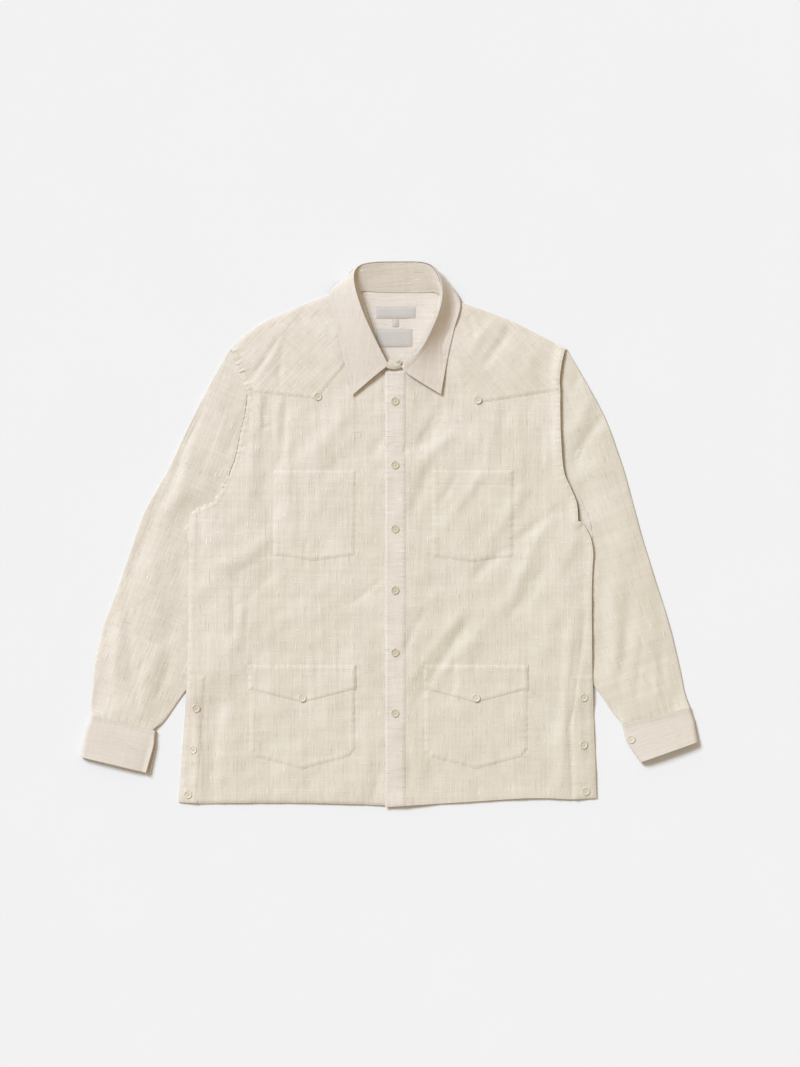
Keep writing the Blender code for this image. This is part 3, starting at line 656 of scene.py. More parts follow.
def sheet_object(name, node, points, faces, grain, wall, finish):
    """A thin cloth object from points, faces and a grain map for each point or each face corner."""
    data = bpy.data.meshes.new(name)
    data.from_pydata([tuple(p) for p in points], [], [tuple(f) for f in faces])
    layer = data.uv_layers.new(name="grain")
    corners = np.empty(len(data.loops), np.int32)
    data.loops.foreach_get("vertex_index", corners)
    per_corner = grain if len(grain) == len(corners) != len(points) else grain[corners]
    layer.data.foreach_set("uv", per_corner.astype(np.float32).ravel())
    skins[name] = BVHTree.FromPolygons([tuple(p) for p in points], [tuple(f) for f in faces])
    cuts[name] = (*np.ptp(per_corner, axis=0), sum(face.area for face in data.polygons))
    return finished(linked(name, data), node, wall, finish)


def edge_lines(node, corners, step=STEP, apart=1.4 * MM):
    return stretches(shadow_outline(node), corners, step, apart)


def box_of(lines):
    """The lower left corner and the size of the box round an outline."""
    outline = joined(lines)
    return outline.min(0), np.ptp(outline, axis=0)


def edge_near(lines, x_share, y_share):
    """The stretch whose middle is nearest a place given in shares of the outline's box."""
    low, size = box_of(lines)
    target = low + size * (x_share, y_share)
    return min(lines, key=lambda line: np.linalg.norm(line[len(line) // 2] - target))


def lay_panel(
    name, node, lines, height, grain, below=(), step=STEP, wall=WALL, finish=COTTON, sunk=SUNK
):
    """Fills an outline with cloth at the heights given, its cut edge pressed into what is under it."""
    outline = joined(lines)
    points, faces = cut_panel(outline, step)
    heights = raised_over(points, height(points), below, wall + CLEAR)
    away, _ = line_distance(points, np.vstack([outline, outline[:1]]), 4 * SUNK_WIDE)
    heights -= sunk * (1 - smoothstep(away / SUNK_WIDE))
    heights = np.maximum(heights, wall)
    placed = np.column_stack([points, heights])
    return sheet_object(name, node, placed, faces, grain(points), wall, finish)


def inset_line(line, distance, trim=0.0):
    """A line moved to its left, the inner side of an outline, with its ends trimmed."""
    moved = line + leftwards(line) * distance
    length = lengths(moved)
    return moved[(length >= trim) & (length <= length[-1] - trim)]


def eased_out(line, distance, ease=14 * MM):
    """An edge moved outwards except at its ends, so that it laps over its neighbour."""
    length = lengths(line)
    moved = distance * smoothstep(length / ease) * smoothstep((length[-1] - length) / ease)
    return line - leftwards(line) * moved[:, None]


# %% [markdown]
# ## Sleeves and cuffs
#
# A sleeve lies flat as a tube: an upper and a lower layer that meet in a rounded fold on each side.
# It could be made from a cylinder that is pressed flat, but the armhole end is cut on a long slant.
# So sections are laid across it from the outer fold to the inner one, each a closed ring. The fold's
# roundness comes from a few points on an arc, which keeps the edge from looking like folded card.

# %% Tubes of cloth
FOLD_ANGLES = (0, 24, 47, 69, 90)  # degrees round the fold's arc, from its edge to the flat
ACROSS, ALONG = 38, 120  # sections of a layer across it, and of a sleeve along it
SECTIONS = 60  # points of the ruled plan line of each section
TUBE_FOLD = 1.2 * MM  # the least radius of a fold


def pointing(line, start):
    """The line, turned round if its end is nearer to `start`."""
    nearer = np.linalg.norm(line[0] - start) <= np.linalg.norm(line[-1] - start)
    return line if nearer else line[::-1]


def tube_rows(node, along, across=SECTIONS):
    """Plan lines across a flattened tube from its outer fold to its inner one, from top to bottom, then
    its four borders, and how far its axis leans from upright in degrees."""
    lines = edge_lines(node, 4, apart=10 * MM)
    start = max(lines, key=lambda line: line[:, 1].mean())
    end = min(lines, key=lambda line: line[:, 1].mean())
    folds = [line for line in lines if line is not start and line is not end]
    folds.sort(key=lambda line: -abs(line[:, 0].mean()))
    outer, inner = (pointing(line, (0, 1)) for line in folds)
    start, end = pointing(start, outer[0]), pointing(end, outer[-1])
    start, end = even(start, across), even(end, across)
    outer, inner = even(outer, along), even(inner, along)
    u = np.linspace(0, 1, across + 1)[None, :, None]
    v = np.linspace(0, 1, along + 1)[:, None, None]
    ruled = start[None] * (1 - v) + end[None] * v + outer[:, None] * (1 - u) + inner[:, None] * u
    flat_top = start[0] * (1 - u) + start[-1] * u
    flat_end = end[0] * (1 - u) + end[-1] * u
    axis = end.mean(0) - start.mean(0)
    slant = math.degrees(math.atan2(axis[0], -axis[1]))
    return ruled - (flat_top * (1 - v) + flat_end * v), (start, end, outer, inner), slant


def lay_tube(node, rows, top, low, slant, wall, finish=COTTON, crosswise=False, open_side=None):
    """Skins closed sections over and under a flattened tube, and gives it its wall.

    `open_side(share, height)` may replace the inner fold's arc with its own (distance, height) pairs."""
    rings, maps = [], []
    rise = np.sin(np.radians(FOLD_ANGLES))
    for k, row in enumerate(rows):
        length = lengths(row)[-1]
        middle = at_length(row, [length / 2])
        radius = max(TUBE_FOLD, float(top(middle)[0] - low(middle)[0]) * 0.55)
        arc = radius * (1 - np.cos(np.radians(FOLD_ANGLES)))
        side = open_side(k / (len(rows) - 1), float(top(middle)[0])) if open_side else None
        margin = side[0][0] + 3 * MM if side else radius
        layers = []
        for height, room in ((top, margin), (low, radius)):
            flat = np.linspace(radius, length - room, ACROSS + 1)[1:-1]
            last = [] if room is not radius else (length - arc)[::-1]
            plan = at_length(row, np.concatenate([arc, flat, last]))
            mid = (top(plan) + low(plan)) / 2
            share = np.concatenate([rise, np.ones(len(flat)), rise[::-1] if len(last) else []])
            layers.append(np.column_stack([plan, mid + (height(plan) - mid) * share]))
        upper, lower = layers
        if side:
            plan = at_length(row, [length - distance for distance, _ in side])
            upper = np.vstack([upper, np.column_stack([plan, [z for _, z in side]])])
            lower[-1] = upper[-1]
        lower[:, 2] = np.maximum(lower[:, 2], 0)
        over, under = (on_bias(slant)(layer[:, :2]) for layer in (upper, lower))
        under[:, 0] = 2 * over[0, 0] - under[:, 0]
        rings.append(np.vstack([upper[::-1], lower[1:-1]]))
        maps.append(np.vstack([over[::-1], under[1:]])[:, :: -1 if crosswise else 1])
    count = len(rings[0])
    points = np.vstack(rings)
    faces, corners = [], []
    for j in range(len(rings) - 1):
        for i in range(count):
            k = (i + 1) % count
            here, below = j * count, (j + 1) * count
            faces.append((here + i, here + k, below + k, below + i))
            corners.append((maps[j][i], maps[j][i + 1], maps[j + 1][i + 1], maps[j + 1][i]))
    quad = points[list(faces[count // 4])]
    if np.cross(quad[1] - quad[0], quad[3] - quad[0])[2] < 0:
        faces = [face[::-1] for face in faces]
        corners = [marks[::-1] for marks in corners]
    return sheet_object(f"{node}_cloth", node, points, faces, np.array(corners).reshape(-1, 2), wall, finish)


# %% Sleeves
SLEEVE_CREASES = {
    "right": [
        (0.77, 0.90, 0.50, 0.65, 4, -2.9, 2), (0.62, 0.74, 0.41, 0.57, 5, -1.9, 2),
        (0.46, 0.65, 0.24, 0.38, 7, -1.9, 2), (0.30, 0.45, 0.20, 0.30, 8, -0.9, 2),
        (0.72, 0.80, 0.46, 0.54, 12, 1.2, 2), (0.86, 0.84, 0.66, 0.56, 10, 1.0, 2),
        (0.19, 0.36, 0.165, 0.08, 7, 1.5, 2), (0.275, 0.38, 0.245, 0.08, 8, -1.6, 2),
        (0.53, 0.24, 0.40, 0.08, 7, -1.5, 2), (0.46, 0.26, 0.33, 0.10, 7, 1.2, 2),
        (0.56, 0.52, 0.52, 0.30, 9, 0.9, 2), (0.40, 0.50, 0.36, 0.34, 10, 0.7, 2),
        (0.60, 0.47, 0.48, 0.20, 6, -0.7, 2), (0.34, 0.22, 0.29, 0.05, 4, -1.0, 1.6),
    ],
    "left": [
        (0.41, 0.83, 0.12, 0.685, 7, -2.4, 2), (0.33, 0.88, 0.08, 0.755, 9, 1.8, 2),
        (0.40, 0.74, 0.16, 0.635, 9, 1.2, 2), (0.26, 0.94, 0.14, 0.88, 6, -1.3, 2),
        (0.465, 0.46, 0.425, 0.10, 11, 2.2, 2), (0.555, 0.42, 0.515, 0.10, 9, -1.7, 2),
        (0.34, 0.50, 0.36, 0.20, 9, 0.8, 2), (0.60, 0.62, 0.54, 0.40, 12, 0.7, 2),
        (0.70, 0.40, 0.72, 0.16, 9, 0.9, 2), (0.64, 0.26, 0.63, 0.05, 5, -1.1, 1.6),
        (0.80, 0.24, 0.82, 0.06, 5, -1.0, 1.6), (0.74, 0.22, 0.75, 0.05, 4, 0.9, 1.6),
    ],
}
TAUT, TAUT_TOP = 4 * MM, 12 * MM  # how far from a fold, and from the armhole, a sleeve's creases start
PLEAT_HIGH, PLEAT_WIDE = 0.42 * MM, 10 * MM
PLEAT_FADE = (36 * MM, 24 * MM)  # where the gathers end above the cuff, and how softly


def sleeve_cloth(side):
    node = f"sleeve_{side}"
    rows, (start, end, outer, inner), slant = tube_rows(node, ALONG)
    top, low = (Form(skin_corners(node, upward, (outer, inner))) for upward in (True, False))
    everything = rows.reshape(-1, 2)
    corner, size = everything.min(0), np.ptp(everything, axis=0)
    across = (end[-1] - end[0]) / np.linalg.norm(end[-1] - end[0])

    def upper(points):
        near_fold = np.minimum(*(line_distance(points, fold, 30 * MM)[0] for fold in (outer, inner)))
        calm = smoothstep(near_fold / TAUT) * smoothstep(line_distance(points, start, 40 * MM)[0] / TAUT_TOP)
        from_cuff = line_distance(points, end, 60 * MM)[0]
        gathered = smoothstep((PLEAT_FADE[0] - from_cuff) / PLEAT_FADE[1])
        gathered *= smoothstep((from_cuff / MM - 3) / 7)
        pleats = ripple((points - end[0]) @ across, PLEAT_WIDE, 2) * PLEAT_HIGH * gathered
        seam = seam_relief(points, start, 0.25, 6, (), 0.28, 8.0, seed=3)
        creases = crease_heights(points, SLEEVE_CREASES[side], corner, size)
        return top(points) + (creases + pleats + rumple(points, 2)) * calm + seam

    def lower(points):
        raised = crease_heights(points, SLEEVE_CREASES[side][::2], corner, size)
        return np.maximum(low(points), 0) + np.maximum(-raised, 0) * 0.5

    lay_tube(node, rows, upper, lower, slant, WALL)


for side in SIDES:
    sleeve_cloth(side)

# %% Cuffs
CUFF_WALL = 1.1 * MM
CUFF_SEAM = 7.0 * MM  # height of a cuff at the seam, where it grips the sleeve
CUFF_RISES = 20 * MM  # how far down the cuff it is full height
CUFF_DRAWN, CUFF_FLARE = 3.2 * MM, 24 * MM  # how much narrower the seam is, and where that ends
CUFF_LOWER = {"right": 0.85, "left": 0.68}  # the cloth's height as a share of the solid's, past the seam
CUFF_REACH = 90 * MM  # longer than any cuff
CUFF_STITCH = 5.0  # mm from a cuff's edge to its row of stitches
cuff_seams = {}


def cuff_cloth(side):
    node = f"cuff_{side}"
    rows, (start, end, outer, inner), slant = tube_rows(node, 26)
    cuff_seams[side] = (start, end)
    top = Form(skin_corners(node, True, (outer, inner), clear=6 * MM))
    for row in rows:  # the seam is gathered in to the sleeve's own width
        middle = row[len(row) // 2]
        from_seam = line_distance(row[:1], start, CUFF_REACH)[0][0]
        drawn = CUFF_DRAWN * (1 - smoothstep(from_seam / CUFF_FLARE)) / np.linalg.norm(row[0] - middle)
        row += (middle - row) * drawn

    def upper(points):
        risen = smoothstep(line_distance(points, start, CUFF_REACH)[0] / CUFF_RISES)
        height = CUFF_SEAM + (CUFF_LOWER[side] * top(points) - CUFF_SEAM) * risen
        height = height + seam_relief(points, start, 0.3, 5.5, (CUFF_STITCH,), 0.12, 8, seed=5)
        return height + seam_relief(points, end, 0.3, 5.5, (CUFF_STITCH,), 0.10, 9, seed=6)

    def lower(points):
        return np.zeros(len(points))

    def open_side(share, height):
        """The right cuff's overlap stands open: a low inner layer shows in the shade of the upper one."""
        lean, low_layer = (0.5 + 5.2 * share) * MM, (0.4 + 4.4 * share) * MM
        return (
            (lean + 1.2 * MM, 0.98 * height),
            (lean + 0.9 * MM, 0.90 * height),
            (lean + 0.4 * MM, 0.70 * height),
            (lean, 0.46 * height),
            (lean + 0.3 * low_layer, 3.2 * MM),
            (lean + 0.9 * low_layer, 2.5 * MM),
            (lean + low_layer, 1.9 * MM),
            (0.4 * lean, 1.5 * MM),
            (0.0, 1.2 * MM),
        )

    profile = open_side if side == "right" else None
    lay_tube(node, rows, upper, lower, slant, CUFF_WALL, FUSED, True, profile)


for side in SIDES:
    cuff_cloth(side)

# %% [markdown]
# ## Back and fronts
#
# The back lies under everything but the sleeves, and its yoke shows through the neck. Each front is
# one panel from hem to shoulder: its form comes from the CAD solid, its long soft drags and troughs
# from a short table, and its seams get their relief. The right front goes down first, because the
# left one buttons over it.

# %% The back and its yoke
BACK_CREASES = [
    (0.20, 0.15, 0.28, 0.85, 22, 1.2, 2), (0.62, 0.10, 0.54, 0.80, 26, 1.4, 2),
    (0.84, 0.30, 0.70, 0.92, 16, 1.1, 2), (0.36, 0.40, 0.44, 0.98, 18, -0.9, 2),
    (0.10, 0.62, 0.34, 0.44, 14, 0.9, 1.7), (0.92, 0.55, 0.66, 0.40, 15, 1.0, 1.7),
]
BACK_STEP = 4.8 * MM

back_lines = edge_lines("back", 6)
yoke_back_lines = edge_lines("back_yoke", 4)


def back_height(points, form=Form(skin_corners("back"))):
    edges = seam_relief(points, edge_near(back_lines, 0.5, 0), 0.3, 17, (17,), 0.2, 12, seed=8)
    edges += seam_relief(points, edge_near(back_lines, 0.5, 1), 0.3, 9, (2, 8), 0.15, 10, seed=9)
    creases = crease_heights(points, BACK_CREASES, *box_of(back_lines)) + rumple(points, 4)
    return form(points) + np.maximum(creases, -0.2 * MM) + edges


def yoke_back_height(points, form=Form(skin_corners("back_yoke"))):
    edges = seam_relief(points, edge_near(yoke_back_lines, 0.5, 0), 0.3, 9, (2,), 0.15, 10, seed=9)
    return form(points) + edges


below = ["sleeve_right_cloth", "sleeve_left_cloth"]
lay_panel("back_cloth", "back", back_lines, back_height, UPRIGHT, below, BACK_STEP)
lay_panel(
    "back_yoke_cloth", "back_yoke", yoke_back_lines, yoke_back_height,
    CROSSWISE, below, BACK_STEP, finish=BAND,
)
below += ["back_cloth", "back_yoke_cloth"]

# %% The fronts' creases and seams
FRONT_CREASES = {
    "right": [
        # From the yoke down to the pocket's corner: two troughs, and the ridges beside them.
        (0.415, 0.86, 0.403, 0.49, 9, -2.3, 2), (0.488, 0.81, 0.425, 0.63, 6, -1.6, 2),
        (0.335, 0.84, 0.325, 0.56, 12, 1.2, 2), (0.525, 0.80, 0.47, 0.50, 11, 1.3, 2),
        (0.26, 0.80, 0.235, 0.62, 7, -0.9, 2),
        # The long bulge that falls from the pocket to the side.
        (0.43, 0.545, 0.16, 0.44, 13, 2.3, 2), (0.45, 0.475, 0.22, 0.375, 11, -1.9, 2),
        (0.22, 0.445, 0.03, 0.405, 10, 1.3, 2), (0.24, 0.43, 0.235, 0.31, 5, -1.3, 1.6),
        (0.30, 0.41, 0.295, 0.26, 5, -1.1, 1.6), (0.62, 0.37, 0.33, 0.33, 16, 0.9, 2),
        # From the collar's point down to the chest pocket.
        (0.80, 0.80, 0.50, 0.645, 14, 1.9, 2), (0.93, 0.76, 0.86, 0.66, 9, -1.3, 2),
        (0.88, 0.70, 0.56, 0.61, 13, -1.1, 2), (0.605, 0.655, 0.588, 0.56, 4, -0.9, 1.6),
        (0.535, 0.65, 0.545, 0.49, 7, -1.0, 2), (0.57, 0.53, 0.555, 0.45, 4, -0.8, 1.6),
        (0.93, 0.445, 0.73, 0.385, 4, -1.0, 1.6), (0.96, 0.425, 0.76, 0.37, 8, 0.7, 2),
        # The side: a nip under the armhole, and the roll beside the vent band.
        (0.10, 0.60, 0.092, 0.47, 5, -1.5, 2), (0.05, 0.50, 0.14, 0.455, 6, -1.0, 2),
        (0.055, 0.28, 0.095, -0.02, 7, 1.9, 2), (0.15, 0.26, 0.165, -0.03, 10, -1.7, 2),
        (0.235, 0.24, 0.245, 0.0, 11, 0.9, 2),
        # Short gathers under the yoke's point, the yoke itself, and the hem.
        (0.355, 0.80, 0.352, 0.72, 3, 0.8, 1.6), (0.385, 0.80, 0.378, 0.70, 3, -0.8, 1.6),
        (0.445, 0.80, 0.437, 0.70, 3, 0.8, 1.6), (0.30, 0.81, 0.305, 0.73, 3.5, -0.7, 1.6),
        (0.47, 0.93, 0.29, 0.805, 4, -1.6, 2), (0.455, 0.91, 0.452, 0.79, 5, -1.0, 2),
        (0.52, 0.95, 0.35, 0.84, 8, 1.1, 2), (0.60, 0.965, 0.69, 0.905, 7, -1.3, 2),
        (0.85, -0.01, 0.90, 0.10, 6, -1.2, 1.6), (0.80, 0.02, 0.84, 0.14, 7, 0.9, 2),
        (0.55, 0.09, 0.585, 0.02, 5, -0.8, 1.6), (0.36, 0.16, 0.42, 0.02, 9, -0.6, 2),
    ],
    "left": [
        # The fan of drags from the underarm to the front edge.
        (0.88, 0.635, 0.54, 0.37, 10, 2.3, 2), (0.62, 0.435, 0.27, 0.235, 12, 1.3, 2),
        (0.84, 0.60, 0.58, 0.495, 8, -2.0, 2), (0.62, 0.515, 0.38, 0.43, 8, -1.7, 2),
        (0.72, 0.64, 0.44, 0.505, 10, 1.4, 2), (0.79, 0.51, 0.59, 0.345, 9, -1.5, 2),
        (0.42, 0.415, 0.05, 0.195, 8, 1.4, 1.8), (0.45, 0.385, 0.09, 0.18, 7, -1.8, 1.8),
        (0.50, 0.375, 0.20, 0.235, 8, 1.3, 2), (0.22, 0.42, 0.075, 0.275, 6, -1.6, 1.8),
        (0.27, 0.43, 0.11, 0.325, 7, 1.2, 2), (0.36, 0.30, 0.24, 0.205, 8, -1.3, 2),
        (0.93, 0.57, 0.80, 0.41, 9, 0.9, 2), (0.86, 0.40, 0.82, 0.24, 9, -0.8, 2),
        # From the collar's point towards the chest button and pocket.
        (0.31, 0.79, 0.12, 0.69, 8, -2.3, 2), (0.16, 0.705, -0.10, 0.685, 6, -1.7, 2),
        (0.36, 0.745, 0.12, 0.64, 9, 1.6, 2), (0.24, 0.67, 0.09, 0.555, 8, -1.4, 2),
        (0.35, 0.66, 0.24, 0.58, 6, -1.0, 2), (0.50, 0.68, 0.28, 0.53, 8, 1.1, 2),
        (0.45, 0.645, 0.43, 0.55, 4, -0.8, 1.6), (0.74, 0.75, 0.73, 0.64, 4, -1.1, 1.6),
        (0.52, 0.80, 0.49, 0.65, 7, 0.9, 2), (0.58, 0.79, 0.55, 0.66, 6, -0.8, 2),
        (0.63, 0.78, 0.635, 0.60, 7, 0.8, 2),
        # The yoke.
        (0.60, 0.95, 0.45, 0.84, 7, -1.8, 2), (0.53, 0.965, 0.39, 0.86, 8, 1.3, 2),
        (0.40, 0.965, 0.42, 0.91, 5, -1.2, 2), (0.72, 0.90, 0.60, 0.82, 9, 0.8, 2),
        # The roll of cloth beside the vent band, and the hem.
        (0.875, 0.40, 0.835, -0.02, 7, 1.9, 2), (0.962, 0.41, 0.905, 0.235, 2.0, -1.7, 1.7),
        (0.912, 0.26, 0.868, 0.14, 2.0, -1.6, 1.7), (0.868, 0.17, 0.893, -0.02, 2.0, -1.6, 1.7),
        (0.93, 0.34, 0.925, 0.02, 6, 0.7, 1.8),
        (0.10, 0.18, 0.105, 0.0, 7, -1.0, 2), (0.34, 0.27, 0.29, 0.19, 6, -1.2, 2),
        (0.53, 0.13, 0.60, 0.02, 7, -0.8, 2), (0.70, 0.16, 0.73, 0.03, 9, 0.8, 2),
        (0.80, 0.795, 0.80, 0.73, 3, -0.6, 1.5), (0.70, 0.79, 0.705, 0.73, 3, 0.6, 1.5),
    ],
}
POCKETS = ("chest_pocket", "hip_pocket")
PATCHES = ("yoke", "vent_band", *POCKETS, "hip_flap")
POCKET_STEP = 2.6 * MM
ARMHOLE_LAP = 2.4 * MM
ROLL_LIFT, ROLL_WIDE = 4.2 * MM, 17 * MM
SIDE_LIFT, SIDE_WIDE, SIDE_RISES = 2.0 * MM, 12 * MM, 60 * MM
VENT_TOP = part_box("vent_band_left")[1].y
FRONT_SUNK = {"right": 1.5 * MM, "left": 0.3 * MM}
FRONT_RUMPLE = {"right": 0.0, "left": 1.0}
ARMHOLE_PUCKER = {"right": 1.1, "left": 0.45}
FRONT_SEAMS = {  # its place in shares of the right front's box, and its relief in millimetres
    "hem": ((0.5, 0.0), {"step": 0.3, "width": 17, "rows": (17,), "pucker": 0.30, "period": 12, "seed": 1}),
    "side": ((0.0, 0.25), {
        "step": 0.3, "width": 9, "rows": (2.5, 8.5), "pucker": 0.16, "period": 11, "seed": 2,
    }),
    "armhole": ((0.25, 0.68), {"step": 0.35, "width": 8.5, "rows": (2.5, 8), "period": 6.5, "seed": 3}),
}
front_lines = {side: edge_lines(f"front_{side}", 6, EDGE_STEP) for side in SIDES}


def front_seam(side, seam):
    """A front's seam, and its relief."""
    (x, y), sizes = FRONT_SEAMS[seam]
    line = edge_near(front_lines[side], x if side == "right" else 1 - x, y)
    return line, {"pucker": ARMHOLE_PUCKER[side], **sizes}


# On the wearer's right the body is sewn flat over the sleeve, with no gap between their edges.
armhole, _ = front_seam("right", "armhole")
armhole[:] = eased_out(armhole, ARMHOLE_LAP)


def rolled_edge(points):
    """On the wearer's left the body's edge stands up in a roll over the sleeve, highest at the armhole."""
    from_armhole, from_side = (
        line_distance(points, front_seam("left", seam)[0], 60 * MM)[0] for seam in ("armhole", "side")
    )
    above_vent = smoothstep((points[:, 1] - VENT_TOP) / SIDE_RISES)
    side_lift = SIDE_LIFT * (1 - smoothstep(from_side / SIDE_WIDE)) * above_vent
    return np.maximum(ROLL_LIFT * (1 - smoothstep(from_armhole / ROLL_WIDE)), side_lift)


# Rows of stitches to add: for each sheet, the edges and how far in from them each row runs.
sewn = {f"{part}_cloth": [] for part in ("front_right", "front_left", "placket", "collar_leaf")}
sewn.update({f"{part}_{side}_cloth": [] for side in SIDES for part in (*PATCHES, "cuff")})


def front_height(side):
    """The front's height as a function of plan points, which its pockets and yoke share."""
    form = Form(skin_corners(f"front_{side}"))
    low, size = box_of(front_lines[side])
    patches = [joined(edge_lines(f"{kind}_{side}", 7, POCKET_STEP)) for kind in POCKETS]
    patches = [np.vstack([patch, patch[:1]]) for patch in patches]

    def height(points):
        total = form(points) + crease_heights(points, FRONT_CREASES[side], low, size)
        total += rumple(points, FRONT_RUMPLE[side])
        for seam in FRONT_SEAMS:
            line, sizes = front_seam(side, seam)
            total += seam_relief(points, line, **sizes)
        if side == "left":
            total += rolled_edge(points)
        for k, patch in enumerate(patches):
            total += seam_relief(points, patch, pucker=0.22, period=9.5, seed=4 + k)
        return total

    return height


front_heights = {side: front_height(side) for side in SIDES}
for side in SIDES:
    name, lines = f"front_{side}_cloth", front_lines[side]
    height, sunk = front_heights[side], FRONT_SUNK[side]
    front = lay_panel(name, f"front_{side}", lines, height, UPRIGHT, below, sunk=sunk)
    below.append(name)
    for seam in FRONT_SEAMS:
        line, sizes = front_seam(side, seam)
        sewn[name] += [(line, row) for row in sizes["rows"]]

# A faint greyed patch of cloth, low on the wearer's left.
GREY_SPOT, GREY_WIDE, GREY_SHARE = (0.794, 0.19), 17 * MM, 0.16
low, size = box_of(front_lines["left"])
spots = np.array([tuple(v.co.xy) for v in front.data.vertices])
grey_patch = GREY_SHARE * np.exp(-(((spots - low - size * GREY_SPOT) / GREY_WIDE) ** 4).sum(1))
shade = front.data.attributes.new("shade", "FLOAT", "POINT")
shade.data.foreach_set("value", grey_patch.astype(np.float32))

# %% [markdown]
# ## What is sewn on the fronts
#
# Yokes, placket, vent bands, pockets and flaps are patches that follow the front under them. Each one
# is cut to its own outline and laid one layer higher than the front's own height, so every crease
# runs on through it. The yokes are cut on the bias, mirrored left and right, and the placket across
# the grain, which is why its slubs lie level.

# %% Yokes, placket, bands, pockets and flaps
BIAS = {"right": -42, "left": 42}  # degrees
PATCH_STEP, PATCH_SUNK, FLAP_SUNK = 2.8 * MM, 0.95 * MM, 1.4 * MM
EDGE_SEAM = {"step": 0.25, "width": 6, "rows": (2.2,), "pucker": 0.14, "period": 8.5}
HEMMED = {"step": 0.3, "width": 19, "rows": (19,), "pucker": 0.10, "period": 11}
DEEP_SEAM = {**EDGE_SEAM, "rows": (5,), "width": 5}
ROUND_POCKET = [(place, EDGE_SEAM) for place in ((0, 0.6), (1, 0.6), (0.25, 0), (0.75, 0))]


def sew_on(node, side, corners, grain, relief, below, layers=1, sunk=PATCH_SUNK, finish=COTTON):
    """A patch on a front, with its own stitched edges. `relief` is a list of places and seam sizes."""
    lines = edge_lines(node, corners, EDGE_STEP)
    if node == "yoke_right":
        outer = edge_near(lines, 0.0, 0.4)
        outer[:] = eased_out(outer, ARMHOLE_LAP)

    def height(points):
        total = front_heights[side](points) + layers * LAYER
        for (x, y), sizes in relief:
            total += seam_relief(points, edge_near(lines, x, y), **sizes)
        return total

    for (x, y), sizes in relief:
        sewn[f"{node}_cloth"] += [(edge_near(lines, x, y), row) for row in sizes["rows"]]
    lay_panel(
        f"{node}_cloth", node, lines, height, grain, below, PATCH_STEP, PATCH_WALL, finish, sunk=sunk
    )


for side, flip in zip(SIDES, (0, 1)):
    front = f"front_{side}_cloth"
    lower, inner, outer = ((abs(flip - x), y) for x, y in ((0.35, 0.1), (0.75, 0.4), (0.0, 0.4)))
    yoke_seams = [
        (lower, {**EDGE_SEAM, "pucker": 0.25}), (inner, EDGE_SEAM), (outer, {**EDGE_SEAM, "rows": (2.5, 8)})
    ]
    sew_on(f"yoke_{side}", side, 5, on_bias(BIAS[side]), yoke_seams, [front])
    band_seams = [((abs(flip - x), y), EDGE_SEAM) for x, y in ((1, 0.5), (0.6, 1))]
    sew_on(f"vent_band_{side}", side, 4, UPRIGHT, band_seams, [front])
    sew_on(f"chest_pocket_{side}", side, 7, UPRIGHT, [((0.5, 1), HEMMED), *ROUND_POCKET], [front])
    sew_on(f"hip_pocket_{side}", side, 7, UPRIGHT, ROUND_POCKET, [front])
    under_flap = [front, f"hip_pocket_{side}_cloth"]
    flap_seams = [((0.5, 1), EDGE_SEAM), *ROUND_POCKET]
    sew_on(f"hip_flap_{side}", side, 5, UPRIGHT, flap_seams, under_flap, layers=2, sunk=FLAP_SUNK)
placket_seams = [((0, 0.5), DEEP_SEAM), ((1, 0.5), DEEP_SEAM)]
sew_on("placket", "left", 4, CROSSWISE, placket_seams, ["front_right_cloth", "front_left_cloth"], finish=BAND)

# %% [markdown]
# ## The collar and its labels
#
# The collar is two interlined pieces: a stand round the neck, and a leaf that rolls over it. Both are
# bent far too much for a plan outline, so here the CAD solid itself is the pattern. One of its two
# skins is kept, the triangles are joined to squares again, and a subdivision surface rounds it. The
# cloth's wall is then given back with Solidify.

# %% One skin of a curved solid
NECK = sum(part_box("collar_stand"), Vector()) / 2
NECK_BACK = round(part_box("collar_stand")[1].y / MM) * MM
THICKEST = 2.6 * MM  # a solid's wall is thinner than this under its skins, and deeper behind its rim
SHORT_SIDE = 1.75 * MM  # only the rim's faces have a side as short as the wall
RIM_ANGLE = math.radians(50)
LEVELS = 3  # of subdivision
COLLAR_WALL = 1.1 * MM
CORNERS, APART = 4, 3  # corners of a skin's rim, and the fewest steps between two of them


def is_narrow(face):
    return min(e.calc_length() for e in face.edges) < SHORT_SIDE


